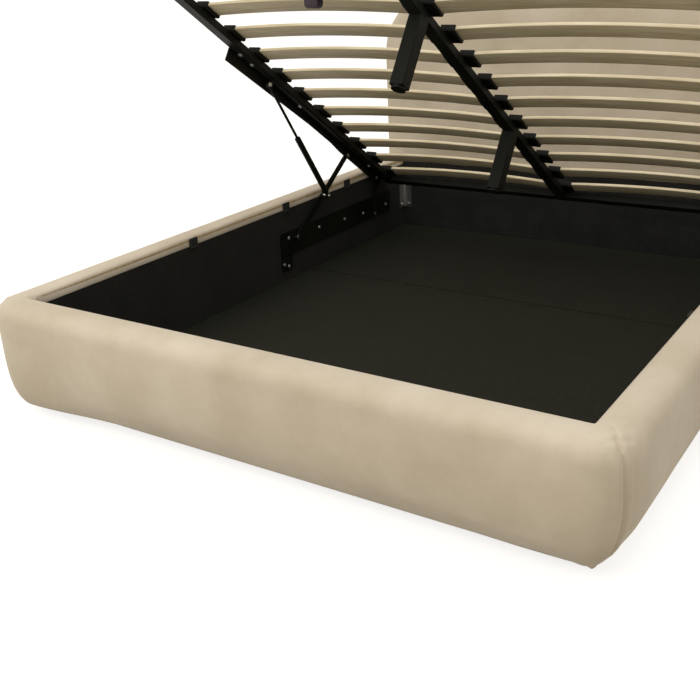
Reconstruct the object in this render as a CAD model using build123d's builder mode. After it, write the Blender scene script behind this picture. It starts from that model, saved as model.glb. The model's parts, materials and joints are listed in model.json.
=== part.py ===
from build123d import *
from math import cos, radians, sin, sqrt
import os

os.makedirs("parts", exist_ok=True)

# An upholstered ottoman bed, standing with its slatted frame lifted.
# x runs across the bed, y from the foot to the headboard, z up from the floor.
# Lengths are in millimetres and angles in degrees.

# Bed base
inner_width = 1620.0
inner_length = 2052.0
crown_height = 345.0
wall_thickness = 97.0
lining_thickness = 2.0
board_thickness = 20.0
board_cover = 14.0
board_bottom = 30.0
band_height = 36.0
head_band_height = 20.0
crown_slope_width = 30.0
crown_slope_drop = 16.0
outer_round = 45.0
bulge_drop = 110.0
belly_width = 88.0
skirt_height = 27.0

# Headboard
headboard_overhang = 8.0
headboard_height = 1027.0
headboard_thickness = 100.0
headboard_corner_round = 250.0
headboard_edge_round = 38.0
headboard_front_padding = 50.0
headboard_panel_thickness = 30.0
headboard_rim_padding = 45.0

# Floor of the storage space, and the feet
foot_height = 12.0
foot_length = 60.0
foot_width = 40.0
foot_inset = 20.0
foot_round = 6.0
floor_top = 39.0
floor_thickness = 5.0
floor_edge_gap = 2.0
floor_joint_gap = 8.0
floor_joint_from_foot = 1320.0
cleat_width = 65.0
cross_rail_width = 60.0
middle_foot_spacing = 600.0

# Rubber buffers on the side walls, and the steel brackets in the corners
buffer_places = (671.0, 1184.0, 1597.0)
buffer_width = 38.0
buffer_thickness = 6.0
buffer_height = 36.0
buffer_drop = 10.0
buffer_round = 3.0
bracket_thickness = 3.0
bracket_reach = 40.0
bracket_cut = 8.0
bracket_height = 118.0
bracket_drop = 107.0
bracket_bolt_inset = 14.0
bracket_bolt_radius = 5.0

# Lift mechanism: where its pivots are, and how far it turns
arm_length = 434.6
arm_angle_open = 34.31
arm_angle_closed = 5.1
rear_link_length = 153.9
frame_tilt = 34.3
lift_head_gap = 41.1
lift_foot_gap = 12.0
lift_rest_drop = 95.6
front_pivot_from_head = 344.0
rear_pivot_from_head = 95.0
strut_pivot_from_head = 945.5
pivot_drop = 19.4
rear_pivot_drop = 12.0
strut_foot_share = 0.5

# Lift mechanism: plates, arms and pins
base_plate_thickness = 3.0
base_plate_bracket_gap = 87.0
base_plate_overhang = 99.0
base_plate_rise = 31.6
base_plate_height = 90.0
base_plate_tab_width = 65.0
base_plate_tab_height = 58.0
base_plate_round = 8.0
arm_stand_off = 4.0
arm_thickness = 5.0
arm_width = 24.0
side_gap = 1.0
flange_thickness = 4.0
flange_width = 34.0
top_plate_start = 60.0
top_plate_length = 1104.0
top_plate_foot_depth = 45.0
top_plate_waist_depth = 27.0
top_plate_head_depth = 33.0
top_plate_round = 12.0
waist_start_share = 0.525
waist_end_share = 0.38
shoulder_share = 0.308
pivot_radius = 6.0
pivot_head_radius = 9.0
pivot_head_thickness = 3.0
stud_radius = 5.0
stud_collar_radius = 8.0
stud_clip_thickness = 2.0
pin_fit = 0.06
face_fit = 0.2
open_pivot_gap = 0.3

# Bolts
bolt_radius = 4.0
bolt_head_radius = 7.5
bolt_head_height = 3.0
wall_bolt_length = 15.0
plate_bolt_head_height = 4.5
plate_bolt_length = 12.0
hidden_nut_radius = 7.0
hole_overrun = 1.0
wall_bolt_shares = (
    (0.065, 0.17),
    (0.32, 0.225),
    (0.548, 0.3),
    (0.725, 0.37),
    (0.954, 0.385),
    (0.018, 0.81),
    (0.053, 0.90),
)
plate_bolt_shares = (0.127, 0.62, 0.9, 0.961)

# Gas struts
strut_inset = 21.0
tube_radius = 11.0
tube_start = 18.0
tube_length = 287.0
chamber_radius = 9.5
chamber_floor = 4.0
guide_length = 15.0
rod_radius = 5.0
piston_length = 10.0
piston_margin = 3.0
eye_width = 12.0
tube_eye_radius = 11.0
rod_eye_radius = 10.0
neck_width = 14.0
mouth_round = 1.2
rod_stud_radius = 4.0

# Slatted frame
rail_width = 40.0
rail_height = 25.0
rail_wall = 2.0
rail_round = 3.0
leg_width = 44.0
leg_wall = 2.0
leg_round = 5.0
leg_floor_gap = 1.0
glide_radius = 21.0
glide_thickness = 8.0
leg_places = (1337.0, 610.0)
slat_rows = 14
slat_pitch = 141.6
first_slat = 57.5
slat_width = 60.0
slat_thickness = 10.0
slat_rise = 15.0
slat_side_clear = 14.0
slat_middle_clear = 8.0
holder_floor = 5.0
holder_wall = 5.0
holder_height = 21.5
holder_width = 47.0
holder_length = 69.0
holder_round = 4.0
slat_fit = 0.3

# Pull strap under the foot bar
strap_side = 34.0
strap_width = 35.0
strap_thickness = 3.0
strap_length = 300.0
strap_loop_radius = 14.0
strap_bead_radius = 3.6
strap_pivot_drop = 4.0

# Main faces, worked out from the sizes above
overall_length = wall_thickness + inner_length + lining_thickness + headboard_thickness
headboard_width = inner_width + 2 * (wall_thickness + headboard_overhang)
side_face = inner_width / 2
foot_face = wall_thickness - overall_length / 2
head_face = foot_face + inner_length
middle_y = (foot_face + head_face) / 2
headboard_front = head_face + lining_thickness
headboard_back = headboard_front + headboard_thickness
board_far = lining_thickness + board_thickness
board_top = crown_height - board_cover
lining_top = crown_height - band_height
head_lining_top = crown_height - head_band_height
lift_rest_height = crown_height - lift_rest_drop
floor_joint_y = foot_face + floor_joint_from_foot
cleat_top = floor_top - floor_thickness

# The lift frame: where its head end lies when it is down, and how it stands when it is up
lift_head_closed = head_face - lift_head_gap
lift_length = inner_length - lift_head_gap - lift_foot_gap
lift_normal = Vector(0, sin(radians(frame_tilt)), cos(radians(frame_tilt)))


arm_open_direction = Vector(0, cos(radians(arm_angle_open)), sin(radians(arm_angle_open)))
arm_pivot = Vector(
    0,
    lift_head_closed - front_pivot_from_head - arm_length * cos(radians(arm_angle_closed)),
    lift_rest_height - pivot_drop - arm_length * sin(radians(arm_angle_closed)),
)
front_pivot = arm_pivot + arm_open_direction * arm_length
pivot_plane = Plane(origin=front_pivot, x_dir=(1, 0, 0), z_dir=lift_normal)
lift = Plane(
    origin=pivot_plane.from_local_coords((0, front_pivot_from_head, pivot_drop)),
    x_dir=(1, 0, 0),
    z_dir=lift_normal,
)


def on_lift(from_head, height):
    """A point of the lifted frame: distance from its head end, height over its underside."""
    return lift.from_local_coords((0, -from_head, height))


def on_closed_lift(from_head, height):
    """The same point with the frame lowered into the base."""
    return Vector(0, lift_head_closed - from_head, lift_rest_height + height)


def across_lift(from_head):
    """A plane across the frame, with x across, y up from the frame and z to the foot."""
    return Plane(origin=on_lift(from_head, 0), x_dir=lift.x_dir, z_dir=-lift.y_dir)


def beside_lift(x):
    """A plane along the frame, with x to the foot, y up from the frame and z to the left."""
    return Plane(origin=lift.from_local_coords((x, 0, 0)), x_dir=-lift.y_dir, z_dir=-lift.x_dir)


# The rear link's lower pivot lies where one link length fits both the lifted and the
# lowered frame
rear_pivot = on_lift(rear_pivot_from_head, -rear_pivot_drop)
rear_pivot_closed = on_closed_lift(rear_pivot_from_head, -rear_pivot_drop)
rear_chord = rear_pivot_closed - rear_pivot
rear_drop = sqrt(rear_link_length**2 - (rear_chord.length / 2) ** 2)
link_pivot = (rear_pivot + rear_pivot_closed) * 0.5
link_pivot = link_pivot + rear_chord.cross(Vector(1, 0, 0)).normalized() * rear_drop

strut_foot = arm_pivot + arm_open_direction * (arm_length * strut_foot_share)
strut_head = on_lift(strut_pivot_from_head, -pivot_drop)
strut_length = (strut_head - strut_foot).length

# Layers of the mechanism, from the side wall inwards
plate_face = side_face - base_plate_thickness
arm_outer = plate_face - arm_stand_off
arm_inner = arm_outer - arm_thickness
flange_outer = arm_inner - side_gap
flange_inner = flange_outer - flange_thickness
rail_inner = flange_outer - rail_width
strut_x = flange_outer - strut_inset
eye_outer = strut_x + eye_width / 2
eye_inner = strut_x - eye_width / 2
clip_start = eye_inner - face_fit - stud_clip_thickness


def block(low, high, mode=Mode.ADD):
    """Add a rectangular block between two opposite corners."""
    low, high = Vector(*low), Vector(*high)
    size = high - low
    with Locations((low + high) * 0.5):
        Box(size.X, size.Y, size.Z, mode=mode)


def disc(x_from, x_to, place, radius, mode=Mode.ADD):
    """Add a round piece that runs across the bed, centred on a point of the side plane."""
    middle = ((x_from + x_to) / 2, place.Y, place.Z)
    with Locations(Location(middle, (0, 90, 0))):
        Cylinder(radius, abs(x_to - x_from), mode=mode)


def finish(piece, name):
    """Label a finished piece and write it under its name."""
    piece.part.label = name
    export_step(piece.part, f"parts/{name}.step")


def other_side(piece):
    """The mirror image of a piece of the right-hand side."""
    with BuildPart() as mirrored:
        mirror(piece.part, about=Plane.YZ)
    return mirrored


# Padded walls: boards inside, foam and fabric outside
def wall_section(plane):
    """The closed padded outline of a wall: x outward from the lining, y up."""
    with BuildSketch(plane) as section:
        with BuildLine():
            belly_height = crown_height - bulge_drop
            inner_edge = Line((0, skirt_height), (0, crown_height - crown_slope_drop))
            EllipticalCenterArc(
                (crown_slope_width, crown_height - crown_slope_drop),
                crown_slope_width,
                crown_slope_drop,
                start_angle=90,
                arc_size=90,
            )
            crown_end = wall_thickness - outer_round
            Line((crown_slope_width, crown_height), (crown_end, crown_height))
            CenterArc((crown_end, crown_height - outer_round), outer_round, 0, 90)
            Line((wall_thickness, crown_height - outer_round), (wall_thickness, belly_height))
            EllipticalCenterArc(
                (wall_thickness - belly_width, belly_height),
                belly_width,
                belly_height - skirt_height,
                start_angle=-90,
                arc_size=90,
            )
            Line((wall_thickness - belly_width, skirt_height), inner_edge @ 0)
        make_face()
    return section.sketch


foot_plane = Plane(origin=(0, foot_face, 0), x_dir=(0, -1, 0), z_dir=(-1, 0, 0))
right_plane = Plane(origin=(side_face, foot_face, 0), x_dir=(1, 0, 0), z_dir=(0, -1, 0))
side_length = headboard_front - foot_face

with BuildPart() as foot_upholstery:
    extrude(wall_section(foot_plane.offset(-side_face)), amount=inner_width)
    for side in (-1, 1):
        corner = Axis((side * side_face, foot_face, 0), (0, 0, side))
        revolve(wall_section(foot_plane.offset(-side * side_face)), axis=corner, revolution_arc=90)
    board_y = foot_face - lining_thickness
    block(
        (-side_face - board_far, foot_face - board_far, 0),
        (side_face + board_far, board_y, board_top),
        mode=Mode.SUBTRACT,
    )
    block(
        (-side_face - lining_thickness, board_y, 0),
        (side_face + lining_thickness, foot_face, lining_top),
        mode=Mode.SUBTRACT,
    )
    for side in (-1, 1):
        near = side * (side_face + lining_thickness)
        far = side * (side_face + board_far)
        block(
            (min(near, far), board_y, 0),
            (max(near, far), foot_face, board_top),
            mode=Mode.SUBTRACT,
        )
finish(foot_upholstery, "foot_upholstery")

with BuildPart() as right_side_upholstery:
    extrude(wall_section(right_plane), amount=-side_length)
    block(
        (side_face, foot_face, 0),
        (side_face + lining_thickness, headboard_front, lining_top),
        mode=Mode.SUBTRACT,
    )
    block(
        (side_face + lining_thickness, foot_face, 0),
        (side_face + board_far, headboard_front, board_top),
        mode=Mode.SUBTRACT,
    )
finish(right_side_upholstery, "right_side_upholstery")
finish(other_side(right_side_upholstery), "left_side_upholstery")

with BuildPart() as foot_board:
    block(
        (-side_face - board_far, foot_face - board_far, board_bottom),
        (side_face + board_far, foot_face - lining_thickness, board_top),
    )
finish(foot_board, "foot_board")

# Places of the wall bolts, from the base plate's foot end and its top edge
plate_foot_y = arm_pivot.Y - base_plate_overhang
plate_head_y = head_face - bracket_reach - base_plate_bracket_gap
base_plate_length = plate_head_y - plate_foot_y
plate_top_z = arm_pivot.Z + base_plate_rise
plate_depth = base_plate_height + base_plate_tab_height
wall_bolts_at = [
    Vector(0, plate_foot_y + base_plate_length * along, plate_top_z - plate_depth * down)
    for along, down in wall_bolt_shares
]
bolt_end = plate_face + wall_bolt_length


def cut_bolt_holes(x_from, x_to):
    """Cut the holes of the wall bolts through a piece of the right-hand side."""
    for place in wall_bolts_at:
        disc(x_from, x_to, place, bolt_radius + pin_fit, mode=Mode.SUBTRACT)


with BuildPart() as right_side_board:
    block(
        (side_face + lining_thickness, foot_face - lining_thickness, board_bottom),
        (side_face + board_far, headboard_front, board_top),
    )
    cut_bolt_holes(side_face, bolt_end + pin_fit)
finish(right_side_board, "right_side_board")
finish(other_side(right_side_board), "left_side_board")

# Black linings on the inner faces of the four walls
with BuildPart() as right_lining:
    block(
        (side_face, foot_face - lining_thickness, board_bottom),
        (side_face + lining_thickness, headboard_front, lining_top),
    )
    cut_bolt_holes(side_face - hole_overrun, side_face + board_far)
finish(right_lining, "right_lining")
finish(other_side(right_lining), "left_lining")

end_linings = (
    ("foot_lining", foot_face - lining_thickness, lining_top),
    ("head_lining", head_face, head_lining_top),
)
for name, near_y, top in end_linings:
    with BuildPart() as end_lining:
        block((-side_face, near_y, board_bottom), (side_face, near_y + lining_thickness, top))
    finish(end_lining, name)

# Headboard: a padded arch around a wooden panel that also ends the base
back_plane = Plane(origin=(0, headboard_back, 0), x_dir=(1, 0, 0), z_dir=(0, -1, 0))


def arch(rim):
    """The headboard's outline, drawn in from its edge by the rim's width."""
    height = headboard_height - rim - foot_height
    with BuildSketch(back_plane) as outline:
        with Locations((0, foot_height + height / 2)):
            Rectangle(headboard_width - 2 * rim, height)
        fillet(
            outline.vertices().group_by(Axis.Z)[-1],
            radius=headboard_corner_round - rim,
        )
    return outline.sketch


panel_front = headboard_front + headboard_front_padding
panel_back = panel_front + headboard_panel_thickness

with BuildPart() as headboard_panel:
    extrude(
        arch(headboard_rim_padding).moved(Location((0, panel_back - headboard_back, 0))),
        amount=headboard_panel_thickness,
    )
    block(
        (-side_face - board_far, headboard_front, foot_height),
        (side_face + board_far, panel_front, head_lining_top),
    )

with BuildPart() as headboard_upholstery:
    extrude(arch(0), amount=headboard_thickness)
    rim_edges = [
        edge
        for face in (faces().sort_by(Axis.Y)[0], faces().sort_by(Axis.Y)[-1])
        for edge in face.edges()
        if edge.center().Z > foot_height + headboard_edge_round
    ]
    fillet(rim_edges, radius=headboard_edge_round)
    add(headboard_panel.part, mode=Mode.SUBTRACT)
finish(headboard_panel, "headboard_panel")
finish(headboard_upholstery, "headboard_upholstery")

# Floor of the storage space: two panels on cleats and a cross rail
floor_side = side_face - floor_edge_gap
floor_spans = (
    ("front_floor_panel", foot_face + floor_edge_gap, floor_joint_y - floor_joint_gap / 2),
    ("rear_floor_panel", floor_joint_y + floor_joint_gap / 2, head_face - floor_edge_gap),
)
for name, y_from, y_to in floor_spans:
    with BuildPart() as floor_panel:
        block((-floor_side, y_from, cleat_top), (floor_side, y_to, floor_top))
    finish(floor_panel, name)

cleat_side = side_face - cleat_width
with BuildPart() as floor_cross_rail:
    block(
        (-cleat_side, floor_joint_y - cross_rail_width / 2, foot_height),
        (cleat_side, floor_joint_y + cross_rail_width / 2, cleat_top),
    )
finish(floor_cross_rail, "floor_cross_rail")

with BuildPart() as floor_cleats:
    block((cleat_side, foot_face, foot_height), (side_face, head_face, cleat_top))
    block((-side_face, foot_face, foot_height), (-cleat_side, head_face, cleat_top))
    block(
        (-cleat_side + floor_edge_gap, foot_face, foot_height),
        (cleat_side - floor_edge_gap, foot_face + cleat_width, cleat_top),
    )
    block(
        (-cleat_side + floor_edge_gap, head_face - cleat_width, foot_height),
        (cleat_side - floor_edge_gap, head_face, cleat_top),
    )
finish(floor_cleats, "floor_cleats")

# Eight low feet: six under the side cleats and two under the cross rail
foot_x = side_face - foot_inset - foot_width / 2
foot_end_step = foot_inset + foot_length / 2
feet_at = [(middle_foot_spacing / 2, floor_joint_y), (-middle_foot_spacing / 2, floor_joint_y)]
for side in (-1, 1):
    feet_at.append((side * foot_x, foot_face + foot_end_step))
    feet_at.append((side * foot_x, middle_y))
    feet_at.append((side * foot_x, head_face - foot_end_step))
with BuildPart() as bed_feet:
    with BuildSketch():
        with Locations(*feet_at):
            RectangleRounded(foot_width, foot_length, foot_round)
    extrude(amount=foot_height)
finish(bed_feet, "bed_feet")

# Rubber buffers on the side walls
with BuildPart() as side_buffers:
    buffer_z = crown_height - buffer_drop - buffer_height / 2
    with BuildSketch(Plane.YZ.offset(side_face - buffer_thickness)):
        with Locations(*[(foot_face + place, buffer_z) for place in buffer_places]):
            RectangleRounded(buffer_width, buffer_height, buffer_round)
    extrude(amount=buffer_thickness)
    mirror(about=Plane.YZ)
finish(side_buffers, "side_buffers")

# Steel brackets across the four inner corners
bracket_base = crown_height - bracket_drop - bracket_height
web_offset = bracket_thickness * (sqrt(2) - 1)
corner_plane = Plane(origin=(side_face, head_face, bracket_base), x_dir=(-1, 0, 0), z_dir=(0, 0, -1))
middle_plane = Plane.XZ.offset(-middle_y)
with BuildPart() as corner_brackets:
    with BuildSketch(corner_plane):
        with BuildLine():
            Polyline(
                (0, -bracket_reach),
                (0, -bracket_cut),
                (bracket_cut, 0),
                (bracket_reach, 0),
                (bracket_reach, -bracket_thickness),
                (bracket_cut + web_offset, -bracket_thickness),
                (bracket_thickness, -bracket_cut - web_offset),
                (bracket_thickness, -bracket_reach),
                close=True,
            )
        make_face()
    extrude(amount=-bracket_height)
    mirror(about=Plane.YZ)
    mirror(about=middle_plane)
finish(corner_brackets, "corner_brackets")

# Base plates of the lift mechanism, bolted to the side walls
with BuildPart() as right_base_plate:
    with BuildSketch(Plane.YZ.offset(plate_face)) as plate_outline:
        with BuildLine():
            tab_end = plate_foot_y + base_plate_tab_width
            strip_bottom = plate_top_z - base_plate_height
            Polyline(
                (plate_foot_y, plate_top_z),
                (plate_head_y, plate_top_z),
                (plate_head_y, strip_bottom),
                (tab_end, strip_bottom),
                (tab_end, plate_top_z - plate_depth),
                (plate_foot_y, plate_top_z - plate_depth),
                close=True,
            )
        make_face()
        fillet(plate_outline.vertices(), radius=base_plate_round)
    extrude(amount=base_plate_thickness)
    cut_bolt_holes(plate_face - hole_overrun, side_face + hole_overrun)
    for place in (arm_pivot, link_pivot):
        disc(
            plate_face - hole_overrun,
            side_face + hole_overrun,
            place,
            pivot_radius + pin_fit,
            mode=Mode.SUBTRACT,
        )
finish(right_base_plate, "right_base_plate")
finish(other_side(right_base_plate), "left_base_plate")

# Bolts of the base plates and of the corner brackets
bracket_bolt_heights = (
    bracket_base + bracket_bolt_inset,
    bracket_base + bracket_height - bracket_bolt_inset,
)
with BuildPart() as wall_bolts:
    for place in wall_bolts_at:
        disc(plate_face - bolt_head_height, plate_face, place, bolt_head_radius)
        disc(plate_face - bolt_head_height, bolt_end, place, bolt_radius)
    bracket_bolt_from_corner = (bracket_reach + bracket_cut + web_offset) / 2
    bracket_face = side_face - bracket_thickness
    for height in bracket_bolt_heights:
        place = Vector(0, head_face - bracket_bolt_from_corner, height)
        disc(bracket_face - bolt_head_height, bracket_face, place, bracket_bolt_radius)
        head_middle = (
            side_face - bracket_bolt_from_corner,
            head_face - bracket_thickness - bolt_head_height / 2,
            height,
        )
        with Locations(Location(head_middle, (90, 0, 0))):
            Cylinder(bracket_bolt_radius, bolt_head_height)
    mirror(about=Plane.YZ)
finish(wall_bolts, "wall_bolts")

# Fixed pivots: a pin through each arm or link, with a collar that stands it off the plate
with BuildPart() as base_pivot_pins:
    for place in (arm_pivot, link_pivot):
        head_end = arm_inner - face_fit
        disc(head_end - pivot_head_thickness, head_end, place, pivot_head_radius)
        disc(head_end - pivot_head_thickness, side_face, place, pivot_radius)
        disc(arm_outer + face_fit, plate_face, place, pivot_head_radius)
    mirror(about=Plane.YZ)
finish(base_pivot_pins, "base_pivot_pins")


def flat_link(first, last, hole_places):
    """A flat bar with round ends from one pivot to another, on the arms' layer."""
    step = last - first
    link_plane = Plane(origin=(arm_inner, first.Y, first.Z), x_dir=step, z_dir=(1, 0, 0))
    with BuildPart() as bar:
        with BuildSketch(link_plane):
            with Locations((step.length / 2, 0)):
                SlotCenterToCenter(step.length, arm_width)
        extrude(amount=arm_thickness)
        for place, radius in hole_places:
            disc(
                arm_inner - hole_overrun,
                arm_outer + hole_overrun,
                place,
                radius + pin_fit,
                mode=Mode.SUBTRACT,
            )
    return bar


right_front_arm = flat_link(
    arm_pivot,
    front_pivot,
    ((arm_pivot, pivot_radius), (front_pivot, pivot_radius), (strut_foot, stud_radius)),
)
finish(right_front_arm, "right_front_arm")
finish(other_side(right_front_arm), "left_front_arm")

right_rear_link = flat_link(
    link_pivot,
    rear_pivot,
    ((link_pivot, pivot_radius), (rear_pivot, pivot_radius)),
)
finish(right_rear_link, "right_rear_link")
finish(other_side(right_rear_link), "left_rear_link")

# Pins that travel with the arms: the frame's pivot and the stud that carries the strut
with BuildPart() as arm_pins:
    nut_start = flange_inner - face_fit - pivot_head_thickness
    disc(nut_start, arm_outer + pivot_head_thickness, front_pivot, pivot_radius)
    disc(nut_start, nut_start + pivot_head_thickness, front_pivot, pivot_head_radius)
    disc(arm_outer, arm_outer + pivot_head_thickness, front_pivot, pivot_head_radius)
    disc(clip_start, arm_outer + stud_clip_thickness, strut_foot, stud_radius)
    disc(clip_start, clip_start + stud_clip_thickness, strut_foot, stud_collar_radius)
    disc(eye_outer + face_fit, arm_inner, strut_foot, stud_collar_radius)
    disc(arm_outer, arm_outer + stud_clip_thickness, strut_foot, stud_collar_radius)
    mirror(about=Plane.YZ)
finish(arm_pins, "arm_pins")

# The rear link's upper pin stops short of the frame's plate
with BuildPart() as rear_link_pins:
    disc(flange_outer + open_pivot_gap, arm_outer + pivot_head_thickness, rear_pivot, pivot_radius)
    disc(arm_outer, arm_outer + pivot_head_thickness, rear_pivot, pivot_head_radius)
    mirror(about=Plane.YZ)
finish(rear_link_pins, "rear_link_pins")

# Gas struts: a bored tube on the arm's stud, and a rod with its piston inside
strut_plane = Plane(
    origin=(strut_x, strut_foot.Y, strut_foot.Z),
    x_dir=(1, 0, 0),
    z_dir=strut_head - strut_foot,
)
tube_end = tube_start + tube_length
piston_end = tube_end - guide_length - piston_margin

with BuildPart() as right_strut_tube:
    with BuildSketch(strut_plane.offset(tube_start)):
        Circle(tube_radius)
    extrude(amount=tube_length)
    fillet(edges().filter_by(GeomType.CIRCLE), radius=mouth_round)
    with BuildSketch(strut_plane):
        Rectangle(eye_width, neck_width)
    extrude(amount=tube_start + chamber_floor / 2)
    disc(eye_inner, eye_outer, strut_foot, tube_eye_radius)
    with BuildSketch(strut_plane.offset(tube_start + chamber_floor)):
        Circle(chamber_radius)
    extrude(amount=tube_length - chamber_floor - guide_length, mode=Mode.SUBTRACT)
    with BuildSketch(strut_plane.offset(tube_end - guide_length)):
        Circle(rod_radius + pin_fit)
    extrude(amount=guide_length + hole_overrun, mode=Mode.SUBTRACT)
    disc(
        eye_inner - hole_overrun,
        eye_outer + hole_overrun,
        strut_foot,
        stud_radius + pin_fit,
        mode=Mode.SUBTRACT,
    )
finish(right_strut_tube, "right_strut_tube")
finish(other_side(right_strut_tube), "left_strut_tube")

# The rod's own stud stops short of the frame's plate
with BuildPart() as right_strut_rod:
    with BuildSketch(strut_plane.offset(piston_end - piston_length)):
        Circle(chamber_radius - pin_fit)
    extrude(amount=piston_length)
    with BuildSketch(strut_plane.offset(piston_end)):
        Circle(rod_radius)
    extrude(amount=strut_length - piston_end)
    disc(eye_inner, eye_outer, strut_head, rod_eye_radius)
    disc(eye_outer, flange_inner - open_pivot_gap, strut_head, rod_stud_radius)
finish(right_strut_rod, "right_strut_rod")
finish(other_side(right_strut_rod), "left_strut_rod")


# Lift frame: steel tubes
def tube_section(plane, centre_x):
    """The hollow rectangular section of the frame's tubes."""
    with BuildSketch(plane) as section:
        with Locations((centre_x, rail_height / 2)):
            RectangleRounded(rail_width, rail_height, rail_round)
            RectangleRounded(
                rail_width - 2 * rail_wall,
                rail_height - 2 * rail_wall,
                rail_round - rail_wall,
                mode=Mode.SUBTRACT,
            )
    return section.sketch


plate_bolts_at = [top_plate_start + top_plate_length * share for share in plate_bolt_shares]
bolt_line_x = flange_inner - (flange_width - flange_thickness) / 2


def cut_plate_bolt_holes(plane_height, depth):
    """Cut the holes of the plate bolts, down from a height over the frame's underside."""
    with BuildSketch(lift.offset(plane_height)) as holes:
        with Locations(*[(bolt_line_x, -place) for place in plate_bolts_at]):
            Circle(bolt_radius + pin_fit)
    extrude(holes.sketch, amount=-depth, mode=Mode.SUBTRACT)


with BuildPart() as right_frame_rail:
    extrude(tube_section(across_lift(0), flange_outer - rail_width / 2), amount=lift_length)
    cut_plate_bolt_holes(rail_height / 2, rail_height)
finish(right_frame_rail, "right_frame_rail")
finish(other_side(right_frame_rail), "left_frame_rail")

with BuildPart() as centre_beam:
    extrude(tube_section(across_lift(rail_width), 0), amount=lift_length - 2 * rail_width)
finish(centre_beam, "centre_beam")

for name, from_head in (("head_bar", rail_width), ("foot_bar", lift_length)):
    with BuildPart() as end_bar:
        bar_plane = beside_lift(rail_inner)
        extrude(tube_section(bar_plane, from_head - rail_width / 2), amount=2 * rail_inner)
    finish(end_bar, name)

# Top plates: angle section under each rail, deeper at the foot end
with BuildPart() as right_top_plate:
    with BuildSketch(beside_lift(flange_outer)) as plate_side:
        with BuildLine():
            plate_end = top_plate_start + top_plate_length
            Polyline(
                (top_plate_start, 0),
                (plate_end, 0),
                (plate_end, -top_plate_foot_depth),
                (top_plate_start + top_plate_length * waist_start_share, -top_plate_waist_depth),
                (top_plate_start + top_plate_length * waist_end_share, -top_plate_waist_depth),
                (top_plate_start + top_plate_length * shoulder_share, -top_plate_head_depth),
                (top_plate_start, -top_plate_head_depth),
                close=True,
            )
        make_face()
        low_corners = plate_side.vertices().sort_by(Axis.Z)
        far_corners = [low_corners[0], plate_side.vertices().sort_by(Axis.Y)[-1]]
        fillet(far_corners, radius=top_plate_round)
    extrude(amount=flange_thickness)
    with BuildSketch(beside_lift(flange_inner)):
        with Locations(((top_plate_start + plate_end) / 2, -flange_thickness / 2)):
            Rectangle(top_plate_length, flange_thickness)
    extrude(amount=flange_width - flange_thickness)
    cut_plate_bolt_holes(hole_overrun, flange_thickness + 2 * hole_overrun)
    disc(
        flange_inner - hole_overrun,
        flange_outer + hole_overrun,
        front_pivot,
        pivot_radius + pin_fit,
        mode=Mode.SUBTRACT,
    )
finish(right_top_plate, "right_top_plate")
finish(other_side(right_top_plate), "left_top_plate")

# Bolts up into the rails, and the nuts of the rear link's and the strut's pivots
with BuildPart() as top_plate_bolts:
    bolt_spots = [(bolt_line_x, -place) for place in plate_bolts_at]
    with BuildSketch(lift.offset(-flange_thickness - plate_bolt_head_height)):
        with Locations(*bolt_spots):
            RegularPolygon(bolt_head_radius, 6)
    extrude(amount=plate_bolt_head_height)
    with BuildSketch(lift.offset(-flange_thickness)):
        with Locations(*bolt_spots):
            Circle(bolt_radius)
    extrude(amount=plate_bolt_length)
    disc(flange_inner - pivot_head_thickness, flange_inner, rear_pivot, hidden_nut_radius)
    disc(flange_outer, flange_outer + pivot_head_thickness, strut_head, hidden_nut_radius)
    mirror(about=Plane.YZ)
finish(top_plate_bolts, "top_plate_bolts")

# Centre legs under the beam, just clear of the floor when the frame is down
leg_length = lift_rest_height - floor_top - leg_floor_gap
for name, from_head in zip(("front_centre_leg", "rear_centre_leg"), leg_places):
    with BuildPart() as centre_leg:
        with BuildSketch(lift):
            with Locations((0, -from_head)):
                RectangleRounded(leg_width, leg_width, leg_round)
                leg_bore = leg_width - 2 * leg_wall
                RectangleRounded(leg_bore, leg_bore, leg_round - leg_wall, mode=Mode.SUBTRACT)
        extrude(amount=-(leg_length - glide_thickness))
    finish(centre_leg, name)

with BuildPart() as leg_glides:
    with BuildSketch(lift.offset(-leg_length)):
        with Locations(*[(0, -from_head) for from_head in leg_places]):
            Circle(glide_radius)
    extrude(amount=glide_thickness)
finish(leg_glides, "leg_glides")

# Bowed slats in two bays, each end in a plastic holder
slat_outer = flange_outer - slat_side_clear
slat_base = rail_height + holder_floor


def slat_band(from_head, width, clearance):
    """The bowed section of a right-hand slat, for a row's middle and a width along the bed."""
    low = slat_base - clearance
    high = slat_base + slat_thickness + clearance
    near = slat_middle_clear - clearance
    far = slat_outer + clearance
    middle = (near + far) / 2
    with BuildSketch(across_lift(from_head - width / 2)) as band:
        with BuildLine():
            under = ThreePointArc((near, low), (middle, low + slat_rise), (far, low))
            over = ThreePointArc((near, high), (middle, high + slat_rise), (far, high))
            Line(under @ 0, over @ 0)
            Line(under @ 1, over @ 1)
        make_face()
    return band.sketch


for row in range(slat_rows):
    with BuildPart() as slat_row:
        extrude(slat_band(first_slat + row * slat_pitch, slat_width, 0), amount=slat_width)
        mirror(about=Plane.YZ)
    finish(slat_row, f"slat_row_{row + 1:02d}")

with BuildPart() as first_holders:
    rail_holder_x = slat_outer + holder_wall - holder_width / 2
    beam_holder_x = slat_middle_clear - holder_wall + holder_width / 2
    with BuildSketch(lift.offset(rail_height)):
        with Locations((rail_holder_x, -first_slat), (beam_holder_x, -first_slat)):
            RectangleRounded(holder_width, holder_length, holder_round)
    extrude(amount=holder_height)
    pocket_width = slat_width + 2 * slat_fit
    extrude(slat_band(first_slat, pocket_width, slat_fit), amount=pocket_width, mode=Mode.SUBTRACT)
    mirror(about=Plane.YZ)

with BuildPart() as slat_holders:
    row_steps = [lift.y_dir * (-slat_pitch * row) for row in range(slat_rows)]
    with Locations(*row_steps):
        add(first_holders.part)
finish(slat_holders, "slat_holders")

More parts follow.
